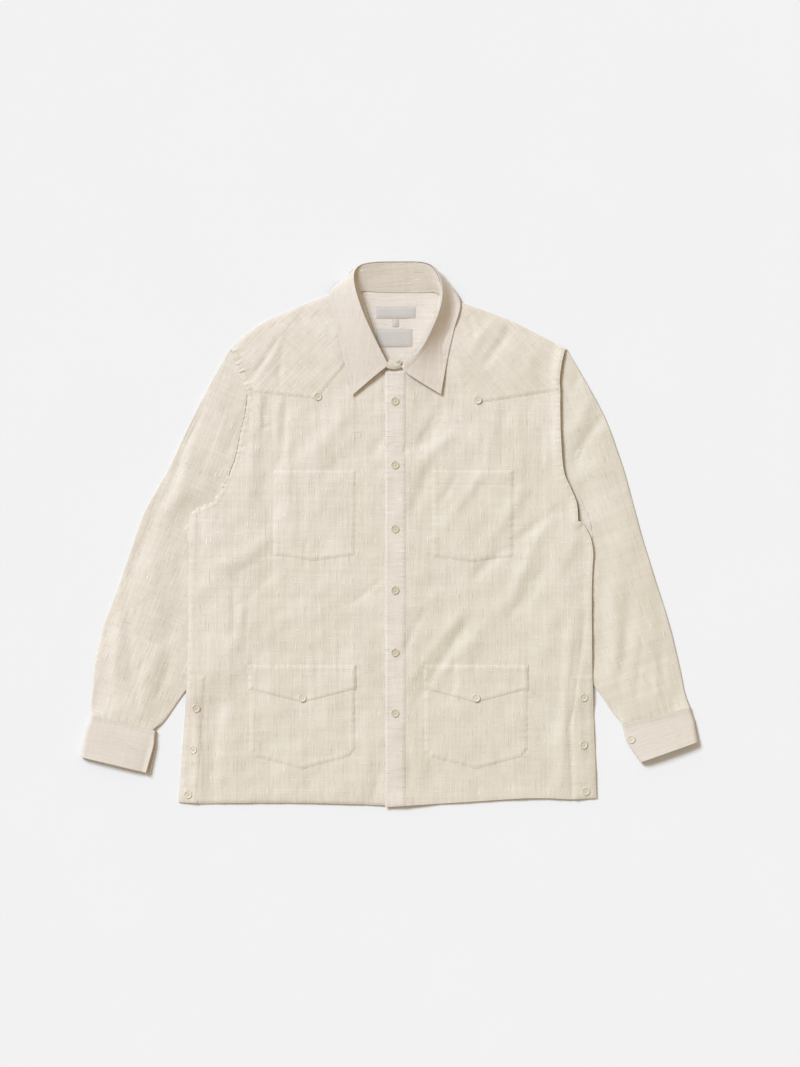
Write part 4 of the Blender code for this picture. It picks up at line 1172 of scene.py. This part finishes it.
def skin_of(node, outer, folded=False):
    """The skin of a thin solid that looks away from the neck, or towards it, as a bmesh of squares.

    A folded solid's skin turns sharply inside itself as well, where only a short side shows its rim."""
    made = solid_copy(node)
    tree = BVHTree.FromBMesh(made)
    rim = []
    for face in made.faces:
        start = face.calc_center_median() - face.normal * 0.01 * MM
        depth = tree.ray_cast(start, -face.normal)[3]
        if is_narrow(face) and (depth is None or depth > THICKEST):
            rim.append(face)
    bmesh.ops.delete(made, geom=rim, context="FACES")
    thin = {face for face in made.faces if is_narrow(face)}
    islands, left = [], set(made.faces)
    while left:
        island, front = set(), [left.pop()]
        while front:
            face = front.pop()
            island.add(face)
            near = {
                f for e in face.edges for f in e.link_faces
                if e.calc_face_angle(0) < RIM_ANGLE or folded and not thin & set(e.link_faces)
            } & left
            left -= near
            front += near
        islands.append(island)

    def area_of(island):
        return sum(f.calc_area() for f in island)

    def looks_out(island):
        outwards = {f: (f.calc_center_median() - NECK).to_2d().normalized() for f in island}
        return sum(f.normal.to_2d().dot(outwards[f]) * f.calc_area() for f in island) / area_of(island)

    islands.sort(key=area_of, reverse=True)
    islands[:2] = sorted(islands[:2], key=looks_out, reverse=outer)
    spare = [f for island in islands[1:] for f in island]
    bmesh.ops.delete(made, geom=spare, context="FACES")
    bmesh.ops.join_triangles(made, faces=made.faces, angle_face_threshold=3.2, angle_shape_threshold=3.2)
    print(f"{node}: {len(rim)} rim faces, then {len(islands)} islands, one skin of {len(made.faces)} faces")
    return made


def long_sides(skin):
    """The two long sides of a skin's rim, the higher one first, each from its lower x."""

    def place(v):
        return tuple(v.co)

    rim = {v for e in skin.edges if e.is_boundary for v in e.verts}
    loop = [min(rim, key=place)]  # a set has no order, so the walk starts at a known place
    while len(loop) < len(rim):
        steps = [e.other_vert(loop[-1]) for e in loop[-1].link_edges if e.is_boundary]
        onward = [v for v in steps if v not in loop[-2:] and v is not loop[0]]
        if not onward:
            break
        loop.append(min(onward, key=place))
    spots = np.array([tuple(v.co) for v in loop])
    before, after = spots - np.roll(spots, 2, 0), np.roll(spots, -2, 0) - spots
    before, after = (way / np.linalg.norm(way, axis=1)[:, None] for way in (before, after))
    ends = []
    for i in np.argsort((before * after).sum(1)):
        if all(min(abs(i - j), len(loop) - abs(i - j)) >= APART for j in ends):
            ends.append(int(i))
        if len(ends) == CORNERS:
            break
    ends.sort()
    stops = [*ends[1:], ends[0] + len(loop)]
    sides = [[loop[k % len(loop)] for k in range(a, b + 1)] for a, b in zip(ends, stops)]
    sides.sort(key=len, reverse=True)
    high, low = sorted(sides[:2], key=lambda side: -sum(v.co.z for v in side) / len(side))
    if high[0].co.x > high[-1].co.x:
        high.reverse()
    if (high[0].co - low[0].co).length > (high[0].co - low[-1].co).length:
        low.reverse()
    print("long sides:", len(high), len(low), "points")
    return high, low


def rim_length(made):
    counted = bmesh.new()
    counted.from_mesh(made.data)
    length = sum(e.calc_length() for e in counted.edges if e.is_boundary)
    counted.free()
    return length


def unwrapped(made):
    """Gives a curved piece its flat pattern as a grain map at its real size, in its smallest box.

    A bent band is cut nearly straight, so its cut comes from its area and the length of its rim."""
    made.select_set(True)
    made.data.uv_layers.new(name="grain")
    bpy.ops.object.mode_set(mode="EDIT")
    bpy.ops.mesh.select_all(action="SELECT")
    bpy.ops.uv.unwrap(method="ANGLE_BASED", margin=0)
    bpy.ops.object.mode_set(mode="OBJECT")
    made.select_set(False)
    layer = made.data.uv_layers["grain"].data
    flat = np.empty(len(layer) * 2, np.float32)
    layer.foreach_get("uv", flat)
    flat = flat.reshape(-1, 2)
    flat_area, area = 0.0, sum(face.area for face in made.data.polygons)
    for face in made.data.polygons:
        x, y = flat[face.loop_start : face.loop_start + face.loop_total].T
        flat_area += 0.5 * abs(np.dot(x, np.roll(y, -1)) - np.dot(y, np.roll(x, -1)))
    flat = (flat - flat.mean(0)) * math.sqrt(area / flat_area)
    angles = ((math.cos(a), math.sin(a)) for a in np.linspace(0, 1.55, 60))
    turns = [flat @ np.array([(c, s), (-s, c)]) for c, s in angles]
    flat = min(turns, key=lambda turned: np.ptp(turned, axis=0).prod())
    layer.foreach_set("uv", flat.astype(np.float32).ravel())
    half = rim_length(made) / 2
    length = (half + math.sqrt(half**2 - 4 * area)) / 2
    cuts[made.name] = (area / length, length, area)


def curved_piece(node, outer, finish, shape, relief):
    """A rolled piece: one skin of its solid, shaped, rounded, given its seams' relief and its wall."""
    name = f"{node}_cloth"
    skin = skin_of(node, outer, folded=not outer)
    shape(skin)
    data = bpy.data.meshes.new(name)
    skin.to_mesh(data)
    skin.free()
    made = linked(name, data)
    unwrapped(made)
    rounding = made.modifiers.new("rounding", "SUBSURF")
    rounding.levels = rounding.render_levels = LEVELS
    rounding.boundary_smooth = "PRESERVE_CORNERS"
    bpy.ops.object.modifier_apply(modifier="rounding")
    relief(made.data)
    faces = [tuple(face.vertices) for face in made.data.polygons]
    skins[name] = BVHTree.FromPolygons([v.co for v in made.data.vertices], faces)
    return finished(made, node, COLLAR_WALL, finish)


def rim_distance(data):
    """How far each vertex of an open sheet is from its rim in millimetres, and the nearest rim vertex."""
    sides = {}
    for face in data.polygons:
        for key in face.edge_keys:
            sides[key] = sides.get(key, 0) + 1
    rim = sorted({i for key, count in sides.items() if count == 1 for i in key})
    tree = kdtree.KDTree(len(rim))
    for i in rim:
        tree.insert(data.vertices[i].co, i)
    tree.balance()
    found = [tree.find(v.co) for v in data.vertices]
    return np.array([d for _, _, d in found]) / MM, np.array([tuple(co) for co, _, _ in found])


def move_along_normals(data, amounts):
    data.update()
    normals = np.array([tuple(v.normal) for v in data.vertices])
    for v, normal, amount in zip(data.vertices, normals, amounts):
        v.co += Vector(normal) * float(amount)


def eased(distance, width):
    """0 below a distance of 0, 1 past `width`, and an even rise between them."""
    return float(smoothstep(distance / width))


# %% The collar's leaf
COLLAR_STITCH = 5.2  # mm from the collar's edge
LEAF_SHOWS = NECK_BACK - 47 * MM  # behind this the leaf's edge is under its roll
LEAF_LIES = NECK_BACK - 42 * MM  # in front of this it rests on the yokes and the fronts
LEAF_STANDS, STANDS_OVER = NECK_BACK - 37 * MM, 20 * MM  # behind this it keeps the solid's own form
LEAF_LOWER = 3.2 * MM  # how much closer than the solid's the wearer's left leaf lies at its edge
LEAF_GAP = 0.6 * MM  # air under the leaf
LEAF_FALL, FALL_LEFT = 1.25, 1.35  # how steeply it falls from its roll, and how much more on the left


def by_index(spots, count=90):
    """The same number of points on each long side, so that each pair lies on one row of the skin."""
    spots, at = np.array(spots), np.linspace(0, len(spots) - 1, count)
    return np.column_stack([np.interp(at, np.arange(len(spots)), spots[:, k]) for k in range(3)])


def leaf_shape(skin):
    """A leaf falls steeply from its roll, then flattens towards its edge: most on the wearer's left."""
    tops, edges = (by_index([tuple(v.co) for v in side]) for side in long_sides(skin))
    for end in (0, -1):  # the rows of stitches run up the points, and along the edge as far as it shows
        sewn["collar_leaf_cloth"].append((even(np.array([edges[end, :2], tops[end, :2]]), 8), COLLAR_STITCH))
        shown = edges[edges[:, 1] < LEAF_SHOWS]
        part = shown[(shown[:, 0] > 0) == (edges[end, 0] > 0)]
        sewn["collar_leaf_cloth"].append((smooth_line(part[::3, :2], 3 * MM), COLLAR_STITCH))
    runs = edges - tops
    for v in skin.verts:
        spot = np.array(tuple(v.co))
        share = np.clip(((spot - tops) * runs).sum(1) / (runs**2).sum(1), 0, 1)
        away = np.linalg.norm(tops + runs * share[:, None] - spot, axis=1)
        i = int(away.argmin())
        t = float(share[i])
        if t in (0.0, 1.0):
            continue
        left = eased(tops[i, 0] - 20 * MM, 25 * MM)
        behind = eased(tops[i, 1] - LEAF_STANDS, STANDS_OVER)
        power = (LEAF_FALL + FALL_LEFT * left) * (1 - behind) + behind
        v.co.z += (edges[i, 2] + (tops[i, 2] - edges[i, 2]) * (1 - t) ** power - v.co.z) * (1 - behind)
        v.co.z -= LEAF_LOWER * left * (1 - behind) * t


def leaf_relief(data):
    away, spot = rim_distance(data)
    wave = ripple(spot[:, 0] + 0.8 * spot[:, 1], 11 * MM, 4)
    bulk = 0.35 * (1 - smoothstep((away - 5.0) / 1.6))
    groove = -0.3 * np.exp(-(((away - COLLAR_STITCH) / 1.1) ** 2))
    pucker = 0.14 * wave * np.exp(-(((away - 4.5) / 4.0) ** 2))
    move_along_normals(data, (bulk + groove + pucker - 0.15) * MM)
    under = [f"{part}_{side}_cloth" for part in ("yoke", "front") for side in SIDES]
    points = np.array([tuple(v.co) for v in data.vertices])
    lifted = raised_over(points[:, :2], points[:, 2].copy(), under, COLLAR_WALL + LEAF_GAP)
    points[:, 2] = np.where(points[:, 1] < LEAF_LIES, lifted, points[:, 2])
    data.vertices.foreach_set("co", points.ravel())
    data.update()


curved_piece("collar_leaf", True, FUSED, leaf_shape, leaf_relief)

# %% The collar's stand
STAND_FOOT, STAND_TALL = 6 * MM, 10 * MM  # its lean starts at this height, and is full so far above it
STAND_LEANS, STAND_SINKS = 7.5 * MM, 5.0 * MM  # how far its top moves out and down
TURN = 14 * MM  # how softly a change starts
SEAM_CORNER = (34 * MM, NECK_BACK - 74 * MM)  # where the neck seam turns, out and back
SEAM_OUT, SEAM_BACK = 5 * MM, 2 * MM  # how far it moves there
LAP = (-5, -4, 2.5), (-5, -5, 2.5), (0, -3, 2.5)  # mm that the lapping end moves along its seam
DROOP = (0, -2, -3), (0, -1, -3)  # and along its top edge


def stand_shape(skin):
    """On the wearer's right the stand leans out under the roll, which leaves a dark gap there."""
    high, low = long_sides(skin)
    for v in skin.verts:
        rise = float(np.clip((v.co.z - STAND_FOOT) / STAND_TALL, 0, 1))
        on_right = eased(-v.co.x - 8 * MM, TURN) * eased(NECK_BACK - v.co.y, TURN)
        v.co.x -= (1.5 * MM + STAND_LEANS * rise) * on_right
        v.co.z -= STAND_SINKS * rise * on_right
    for v in low:  # the seam runs straight across the back, and turns under the rolls
        corner = eased(v.co.y - SEAM_CORNER[1], TURN) * eased(abs(v.co.x) - SEAM_CORNER[0], 12 * MM)
        v.co.x += math.copysign(SEAM_OUT, v.co.x) * corner
        v.co.y += SEAM_BACK * corner
        v.co.z -= 0.6 * MM * eased(v.co.y - NECK_BACK + 92 * MM, 20 * MM)
    # The wearer's left end laps over the right one, and droops across the top of the placket.
    for v, move in (*zip(low, LAP), *zip(high, DROOP)):
        v.co += Vector(move) * MM


def stand_relief(data):
    away, _ = rim_distance(data)
    move_along_normals(data, -0.22 * MM * np.exp(-((away - 3.5) ** 2)))


curved_piece("collar_stand", False, COTTON, stand_shape, stand_relief)

# %% The blank labels
LABELS = ("label_neck", "label_size", "label_fabric")
LABEL_WALL, LABEL_STEP = 0.6 * MM, 2.0 * MM
LABEL_AIR = 1.1  # mm under a label
RIB = 0.8 * MM


def woven_label():
    """Plain pale grey satin ribbon, with fine ribs along it and no words."""
    ribbon = Finish("grey_ribbon", roughness=0.55, sheen=0.1)
    u, v = ribbon.grain()
    ribs = (v * (2 * math.pi / RIB)).sine() * 0.5 + 0.5
    cloud = ribbon.noise(u, v, 60, 60, 3, 2.0)
    crumb = ribbon.noise(u, v, 700, 1500, 2, 5.0)
    tone = ribs * 0.25 + cloud * 0.5 + crumb * 0.35
    colour = ribbon.mix(tone, (0.455, 0.425, 0.392, 1), (0.625, 0.588, 0.548, 1))
    return ribbon.surface(colour, ribs * 0.05 + crumb * 0.06)


RIBBON = woven_label()


def label_cloth(node):
    lines = edge_lines(node, 4, LABEL_STEP)
    low, size = box_of(lines)

    def height(points):
        share = (points - low) / size
        bow = np.sin(share[:, 0] * math.pi) * 0.5 + ripple(points[:, 0], 23 * MM, 3) * 0.12
        edge = seam_relief(points, edge_near(lines, 0.5, 1), rows=(1.2,))
        return yoke_back_height(points) + (LABEL_AIR + bow * (1 - share[:, 1])) * MM + edge

    lay_panel(
        f"{node}_ribbon", node, lines, height, UPRIGHT, ["back_yoke_cloth"],
        LABEL_STEP, LABEL_WALL, RIBBON,
    )


for node in LABELS:
    label_cloth(node)

# %% [markdown]
# ## The buttons
#
# All seventeen are the same four-hole shirt button: a flat disc with a raised round rim, a shallow
# dished face and four holes with crossed thread. It is modelled once, from a cylinder whose top is
# inset and sunk, and copied to each place. Each copy is tilted to lie flat on the cloth under it.

# %% One button
BUTTON_RADIUS = 5.7 * MM
BUTTON_HEIGHT = 2.2 * MM
BUTTON_RIM = 1.25 * MM
BUTTON_DISH = 0.55 * MM
BUTTON_PULLED = 0.9 * MM  # how deep the thread pulls a button into the cloth
HOLE_RADIUS = 0.62 * MM
BUTTON_WELL, WELL_SUNK = 0.7 * MM, 0.12 * MM  # the slope of the dish: its width and its depth
BUTTON_ROUND = 0.38 * MM
HOLE_OUT = 1.15 * MM  # distance of a hole's centre from each of the two middle lines
BAR_RADIUS, BAR_ASIDE, BAR_UP = 0.24 * MM, 0.18 * MM, 0.10 * MM  # the thread over the holes


def top_faces_selected(made, height):
    """Selects the faces that look up at this height, and nothing else."""
    bpy.ops.mesh.select_all(action="DESELECT")
    held = bmesh.from_edit_mesh(made.data)
    for face in held.faces:
        face.select = face.normal.z > 0.99 and abs(face.calc_center_median().z - height) < 0.02 * MM
    bmesh.update_edit_mesh(made.data)


def button_blank():
    bpy.ops.mesh.primitive_cylinder_add(
        vertices=40, radius=BUTTON_RADIUS, depth=BUTTON_HEIGHT, location=(0, 0, BUTTON_HEIGHT / 2)
    )
    made = bpy.context.active_object
    bpy.ops.object.transform_apply(location=True)
    bpy.ops.object.mode_set(mode="EDIT")
    bpy.ops.mesh.select_mode(type="FACE")
    top_faces_selected(made, BUTTON_HEIGHT)
    bpy.ops.mesh.inset(thickness=BUTTON_RIM)
    bpy.ops.mesh.extrude_region_move(TRANSFORM_OT_translate={"value": (0, 0, -BUTTON_DISH)})
    bpy.ops.mesh.inset(thickness=BUTTON_WELL)
    bpy.ops.transform.translate(value=(0, 0, -WELL_SUNK))
    bpy.ops.object.mode_set(mode="OBJECT")
    rounding = made.modifiers.new("rounding", "BEVEL")
    rounding.width, rounding.segments, rounding.limit_method = BUTTON_ROUND, 3, "ANGLE"
    rounding.angle_limit = math.radians(40)
    bpy.ops.object.modifier_apply(modifier="rounding")
    return made


def drilled(made):
    """Cuts the four holes with small cylinders."""
    for sx, sy in ((1, 1), (-1, 1), (-1, -1), (1, -1)):
        spot = (sx * HOLE_OUT, sy * HOLE_OUT, BUTTON_HEIGHT / 2)
        bpy.ops.mesh.primitive_cylinder_add(
            vertices=14, radius=HOLE_RADIUS, depth=3 * BUTTON_HEIGHT, location=spot
        )
        drill = bpy.context.active_object
        bpy.context.view_layer.objects.active = made
        hole = made.modifiers.new("hole", "BOOLEAN")
        hole.operation, hole.object, hole.solver = "DIFFERENCE", drill, "EXACT"
        bpy.ops.object.modifier_apply(modifier="hole")
        bpy.data.objects.remove(drill)
    while made.data.uv_layers:  # the drills have spoilt its map by now, and its finish needs none
        made.data.uv_layers.remove(made.data.uv_layers[0])
    return made


def button_thread():
    """Two crossed bars of thread over the holes, a little above the dish."""
    bars = []
    for turn in (math.radians(45), math.radians(135)):
        for aside in (-BAR_ASIDE, BAR_ASIDE):
            spot = (-aside * math.sin(turn), aside * math.cos(turn), BUTTON_HEIGHT - BUTTON_DISH + BAR_UP)
            bpy.ops.mesh.primitive_cylinder_add(
                vertices=8, radius=BAR_RADIUS, depth=2.9 * HOLE_OUT,
                location=spot, rotation=(0, math.pi / 2, turn),
            )
            bars.append(bpy.context.active_object)
            bpy.ops.object.transform_apply(location=True, rotation=True)
    for bar in bars:
        bar.select_set(True)
    bpy.context.view_layer.objects.active = bars[0]
    bpy.ops.object.join()
    made = bpy.context.active_object
    made.select_set(False)
    return made


def button_shell(name, dark, light):
    """A clouded horn-like body with a glossy coat."""
    shell = Finish(name, roughness=0.30, coat=0.3)
    place = shell.node("TexCoord", "Object")
    cloud = shell.node("TexNoise", "Fac", Vector=place, Scale=420.0, Detail=3.0)
    fine = shell.node("TexNoise", "Fac", Vector=place, Scale=2600.0, Detail=2.0)
    colour = shell.mix(cloud, dark, light)
    rough = cloud * 0.12 + fine * 0.08 + 0.20
    return shell.surface(colour, fine * 0.02, 0.4, rough)


def thread_finish():
    """Twisted cotton sewing thread."""
    thread = Finish("ecru_thread", roughness=0.7, sheen=0.15)
    place = thread.node("TexCoord", "Object")
    twist = thread.node("TexNoise", "Fac", Vector=place, Scale=3500.0, Detail=1.0)
    colour = thread.mix(twist, (0.640, 0.555, 0.430, 1), (0.850, 0.775, 0.650, 1))
    return thread.surface(colour, twist * 0.08)


SHELL = button_shell("olive_button", (0.530, 0.480, 0.345, 1), (0.660, 0.605, 0.455, 1))
PALE_SHELL = button_shell("cream_button", (0.640, 0.580, 0.465, 1), (0.740, 0.675, 0.555, 1))
THREAD = thread_finish()
master = drilled(button_blank())
master.data.materials.append(SHELL)
thread = button_thread()
thread.data.materials.append(THREAD)
thread.select_set(True)
master.select_set(True)
bpy.context.view_layer.objects.active = master
bpy.ops.object.join()
master.select_set(True)
bpy.ops.object.shade_smooth_by_angle(angle=math.radians(35))
master.select_set(False)
print("button:", len(master.data.polygons), "faces")

# %% Every button in its place
FEELERS, FEELERS_OUT = 8, 4.6 * MM  # places round a button where the cloth's height is felt


def top_of(names, x, y):
    """The height of the highest of these pieces at a place in plan, or None."""
    hits = [skins[name].ray_cast(Vector((x, y, 1)), DOWN)[0] for name in names]
    return max((hit.z for hit in hits if hit), default=None)


def place_button(node, on):
    """A copy of the button where the CAD model has it, lying flat on the pieces named."""
    low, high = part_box(node)
    middle = (low + high) / 2
    turns = np.linspace(0, 2 * math.pi, FEELERS + 1)[:-1]
    ring = np.array([(0.0, 0.0), *((math.cos(turn), math.sin(turn)) for turn in turns)]) * FEELERS_OUT
    heights = np.array([top_of(on, middle.x + x, middle.y + y) or low.z for x, y in ring])
    plane = np.linalg.lstsq(np.column_stack([ring, np.ones(len(ring))]), heights, rcond=None)[0]
    tilt = Vector((-plane[0], -plane[1], 1)).normalized()
    lift = float((heights - ring @ plane[:2]).max())
    made = master.copy()
    made.data = master.data.copy()
    made.name = made.data.name = f"{node}_shell"
    bpy.context.scene.collection.objects.link(made)
    turned = Vector((0, 0, 1)).rotation_difference(tilt).to_matrix().to_4x4()
    spin = Matrix.Rotation(math.radians(sum(ord(c) for c in node) * 37 % 180 - 90), 4, "Z")
    seat = Matrix.Translation((middle.x, middle.y, lift - BUTTON_PULLED))
    made.data.transform(seat @ turned @ spin)
    if "front" not in node:
        made.data.materials[0] = PALE_SHELL
    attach(made, "root")
    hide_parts(node)


BUTTON_SEATS = {"button_cuff_left": ["cuff_left_cloth"]}
for i in range(6):
    BUTTON_SEATS[f"button_front_{i + 1}"] = ["placket_cloth", "front_left_cloth"]
for side in SIDES:
    yoke, flap, vent = (
        [f"{part}_{side}_cloth" for part in parts]
        for parts in (("yoke", "chest_pocket", "front"), ("hip_flap", "hip_pocket"), ("vent_band", "front"))
    )
    BUTTON_SEATS |= {f"button_yoke_{side}": yoke, f"button_flap_{side}": flap}
    BUTTON_SEATS |= {f"button_vent_{side}_{i + 1}": vent for i in range(3)}
for node, on in BUTTON_SEATS.items():
    place_button(node, on)
bpy.data.objects.remove(master)
print(len(BUTTON_SEATS), "buttons")

# %% [markdown]
# ## Stitches and buttonholes
#
# Every stitched edge was noted down when its piece was laid. A stitch is a small spindle of thread,
# 2.1 mm long, and a row of them follows the edge at its own distance, each one dropped onto the
# cloth. A buttonhole is a slit's worth of the same stitches turned crosswise. All the stitches on one
# sheet are one mesh.

# %% Rows of stitches
PITCH, STITCH_LONG, STITCH_THICK = 2.9 * MM, 2.1 * MM, 0.27 * MM
SPINDLE = ((-0.5, 0.0), (-0.28, 1.0), (0.28, 1.0), (0.5, 0.0))  # share of the length, share of the thickness
STITCH_UP = 0.05 * MM  # how high the middle of a stitch lies over the cloth
STITCH_DROP = 1.2 * MM  # a stitch that would fall further from end to end is left out
ROW_TRIM = 1.5 * MM  # a row ends this far before its edge does
HOLE_LONG, HOLE_WIDE, HOLE_PITCH, HOLE_THICK = 15 * MM, 2.6 * MM, 0.55 * MM, 0.2 * MM


def add_stitch(made, centre, along, length, thick=STITCH_THICK):
    """A four-sided spindle of thread."""
    along = along.normalized()
    across = along.cross(Vector((0, 0, 1))).normalized()
    up = across.cross(along)
    first = made.verts.new(centre + along * SPINDLE[0][0] * length)
    last = made.verts.new(centre + along * SPINDLE[-1][0] * length)
    rings = [
        [made.verts.new(centre + along * at * length + (across * c + up * d) * thick * wide)
         for c, d in ((1, 0), (0, 1), (-1, 0), (0, -1))]
        for at, wide in SPINDLE[1:3]
    ]
    for i in range(4):
        j = (i + 1) % 4
        made.faces.new((first, rings[0][j], rings[0][i]))
        made.faces.new((rings[0][i], rings[0][j], rings[1][j], rings[1][i]))
        made.faces.new((rings[1][i], rings[1][j], last))


def dropped(on, x, y):
    z = top_of(on, x, y)
    return None if z is None else Vector((x, y, z + STITCH_UP))


def stitch_row(made, line, on, seed):
    """Stitches along a line in plan, lying on the sheet named, each a little out of true."""
    length = lengths(line)[-1]
    wander = ripple(np.arange(0, length + PITCH, PITCH), 31 * MM, seed) * 0.12 * MM
    for k, start in enumerate(np.arange(PITCH / 2, length - PITCH / 2, PITCH)):
        ends = at_length(line, np.array([start, start + STITCH_LONG])) + wander[k]
        a, b = (dropped([on], *end) for end in ends)
        if a and b and abs(a.z - b.z) < STITCH_DROP:
            add_stitch(made, (a + b) / 2, b - a, STITCH_LONG)


def buttonhole(made, middle, upright, on):
    """Close crosswise stitches down both sides of a slit."""
    slit, side_on = (Vector((0, 1, 0)), Vector((1, 0, 0)))[:: 1 if upright else -1]
    for share in np.arange(-HOLE_LONG / 2, HOLE_LONG / 2, HOLE_PITCH):
        for sign in (-1, 1):
            spot = middle + slit * float(share) + side_on * sign * HOLE_WIDE / 4
            place = dropped(on, spot.x, spot.y)
            if place:
                add_stitch(made, place, side_on, HOLE_WIDE / 2, HOLE_THICK)


def stitch_mesh(name, made):
    data = bpy.data.meshes.new(name)
    bmesh.ops.recalc_face_normals(made, faces=made.faces)
    made.to_mesh(data)
    made.free()
    added = linked(name, data)
    data.materials.append(THREAD)
    data.shade_smooth()
    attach(added, "root")
    return added


holes = {}
for node, seats in BUTTON_SEATS.items():
    holes.setdefault(seats[0], []).append(node)
stitches, count = {}, 0
for side in SIDES:
    sewn[f"cuff_{side}_cloth"] += [(line, CUFF_STITCH) for line in cuff_seams[side]]
for name in ("collar_leaf_cloth", "cuff_right_cloth", "cuff_left_cloth"):  # an edge may run either way
    sewn[name] += [(line[::-1], away) for line, away in sewn[name]]
for name, rows in sewn.items():
    made = bmesh.new()
    for k, (line, away) in enumerate(rows):
        stitch_row(made, inset_line(line, away * MM, ROW_TRIM), name, k)
    for node in holes.get(name, []):
        low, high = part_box(node)
        buttonhole(made, (low + high) / 2, "cuff" not in node, BUTTON_SEATS[node])
    if made.faces:
        count += len(made.faces)
        stitches[name] = stitch_mesh(name.replace("_cloth", "_stitches"), made)
    else:
        made.free()
print(len(stitches), "meshes of stitches,", count, "faces")

# %% What each sheet was cut to
rests_on = {}
for side in SIDES:
    rests_on[f"sleeve_{side}_cloth"] = [f"cuff_{side}_cloth"]
    rests_on[f"cuff_{side}_cloth"] = [f"sleeve_{side}_cloth"]
rests_on["back_cloth"] = []
rests_on["back_yoke_cloth"] = rests_on["front_right_cloth"] = ["back_cloth"]
rests_on["front_left_cloth"] = ["back_cloth", "front_right_cloth"]
rests_on["placket_cloth"] = ["front_left_cloth"]
rests_on["collar_stand_cloth"] = ["back_yoke_cloth"]
rests_on["collar_leaf_cloth"] = ["collar_stand_cloth"]
for side in SIDES:
    rests_on.update({f"{part}_{side}_cloth": [f"front_{side}_cloth"] for part in PATCHES})
    rests_on[f"hip_flap_{side}_cloth"] = [f"hip_pocket_{side}_cloth"]
rests_on.update({f"{label}_ribbon": ["back_yoke_cloth"] for label in LABELS})
for name, under in rests_on.items():
    width, length, area = cuts[name]
    width, length = max(width, SMALLEST_CUT), max(length, SMALLEST_CUT)
    min(area, width * length)
    [stitches[name]] if name in stitches else ()
print(len(rests_on), "sheets declared")

# %% [markdown]
# ## Floor, light and camera
#
# The shirt lies on a plain pale floor. One broad soft sun from the upper left gives the low creases
# their light and dark sides, and a dim warm sky fills the rest. The sun is a little blue, so that the
# two together are white. The camera looks straight down through a long lens, so nothing leans away
# from the middle.

# %% Floor
FLOOR_SIZE, FLOOR_DOWN = 8.0, 0.4 * MM
bpy.ops.mesh.primitive_plane_add(size=FLOOR_SIZE, location=(0, 0, -FLOOR_DOWN))
floor = bpy.context.active_object
floor.name = "floor"
floor.select_set(False)
paper = Finish("pale_floor", roughness=0.9)
spot = paper.node("TexCoord", "Object")
mottle = paper.node("TexNoise", "Fac", Vector=spot, Scale=6.0, Detail=3.0)
paper.surface(paper.mix(mottle, (0.795, 0.795, 0.795, 1), (0.805, 0.805, 0.805, 1)))
floor.data.materials.append(paper.material)
floor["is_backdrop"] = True

# %% Light
SUN_HEIGHT, SUN_WIDE = math.radians(43), math.radians(20)
SUN_ENERGY, SUN_COLOUR = 2.95, (0.907, 1.032, 1.190)
SKY_STRENGTH, SKY_COLOUR = 0.528, (1.0, 0.840, 0.650, 1)
sun_data = bpy.data.lights.new("window", "SUN")
sun_data.energy, sun_data.angle, sun_data.color = SUN_ENERGY, SUN_WIDE, SUN_COLOUR
sun = linked("window", sun_data)
beam = Vector((math.cos(SUN_HEIGHT) * 0.70, -math.cos(SUN_HEIGHT) * 0.71, -math.sin(SUN_HEIGHT)))
sun.rotation_euler = beam.to_track_quat("-Z", "Y").to_euler()
sky = bpy.data.worlds.new("sky")
sky.use_nodes = True
background = sky.node_tree.nodes["Background"].inputs
background["Color"].default_value, background["Strength"].default_value = SKY_COLOUR, SKY_STRENGTH
bpy.context.scene.world = sky
print("sun and sky:", SUN_ENERGY, SKY_STRENGTH)

# %% Camera
FRAME_LONG = 1.54715  # metres on the table along the frame's long side
FRAME_MIDDLE = (7.25 * MM, -0.7 * MM)
CAMERA_UP = 6.0
SENSOR = 36.0
lens_data = bpy.data.cameras.new("camera")
lens_data.sensor_fit, lens_data.sensor_width = "AUTO", SENSOR
lens_data.lens = SENSOR * CAMERA_UP / FRAME_LONG
camera = linked("camera", lens_data)
camera.location = (*FRAME_MIDDLE, CAMERA_UP)
bpy.context.scene.camera = camera
bpy.context.scene.view_settings.view_transform = "Standard"
print("lens:", round(lens_data.lens, 1), "mm")

# %% Sizes and the end
low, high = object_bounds()
sizes = {
    "cad": [list(map(float, CAD_LOW)), list(map(float, CAD_HIGH))],
    "visual": [list(map(float, low)), list(map(float, high))],
}
print("visual box in mm:", [round(v / MM, 1) for v in (high - low)])
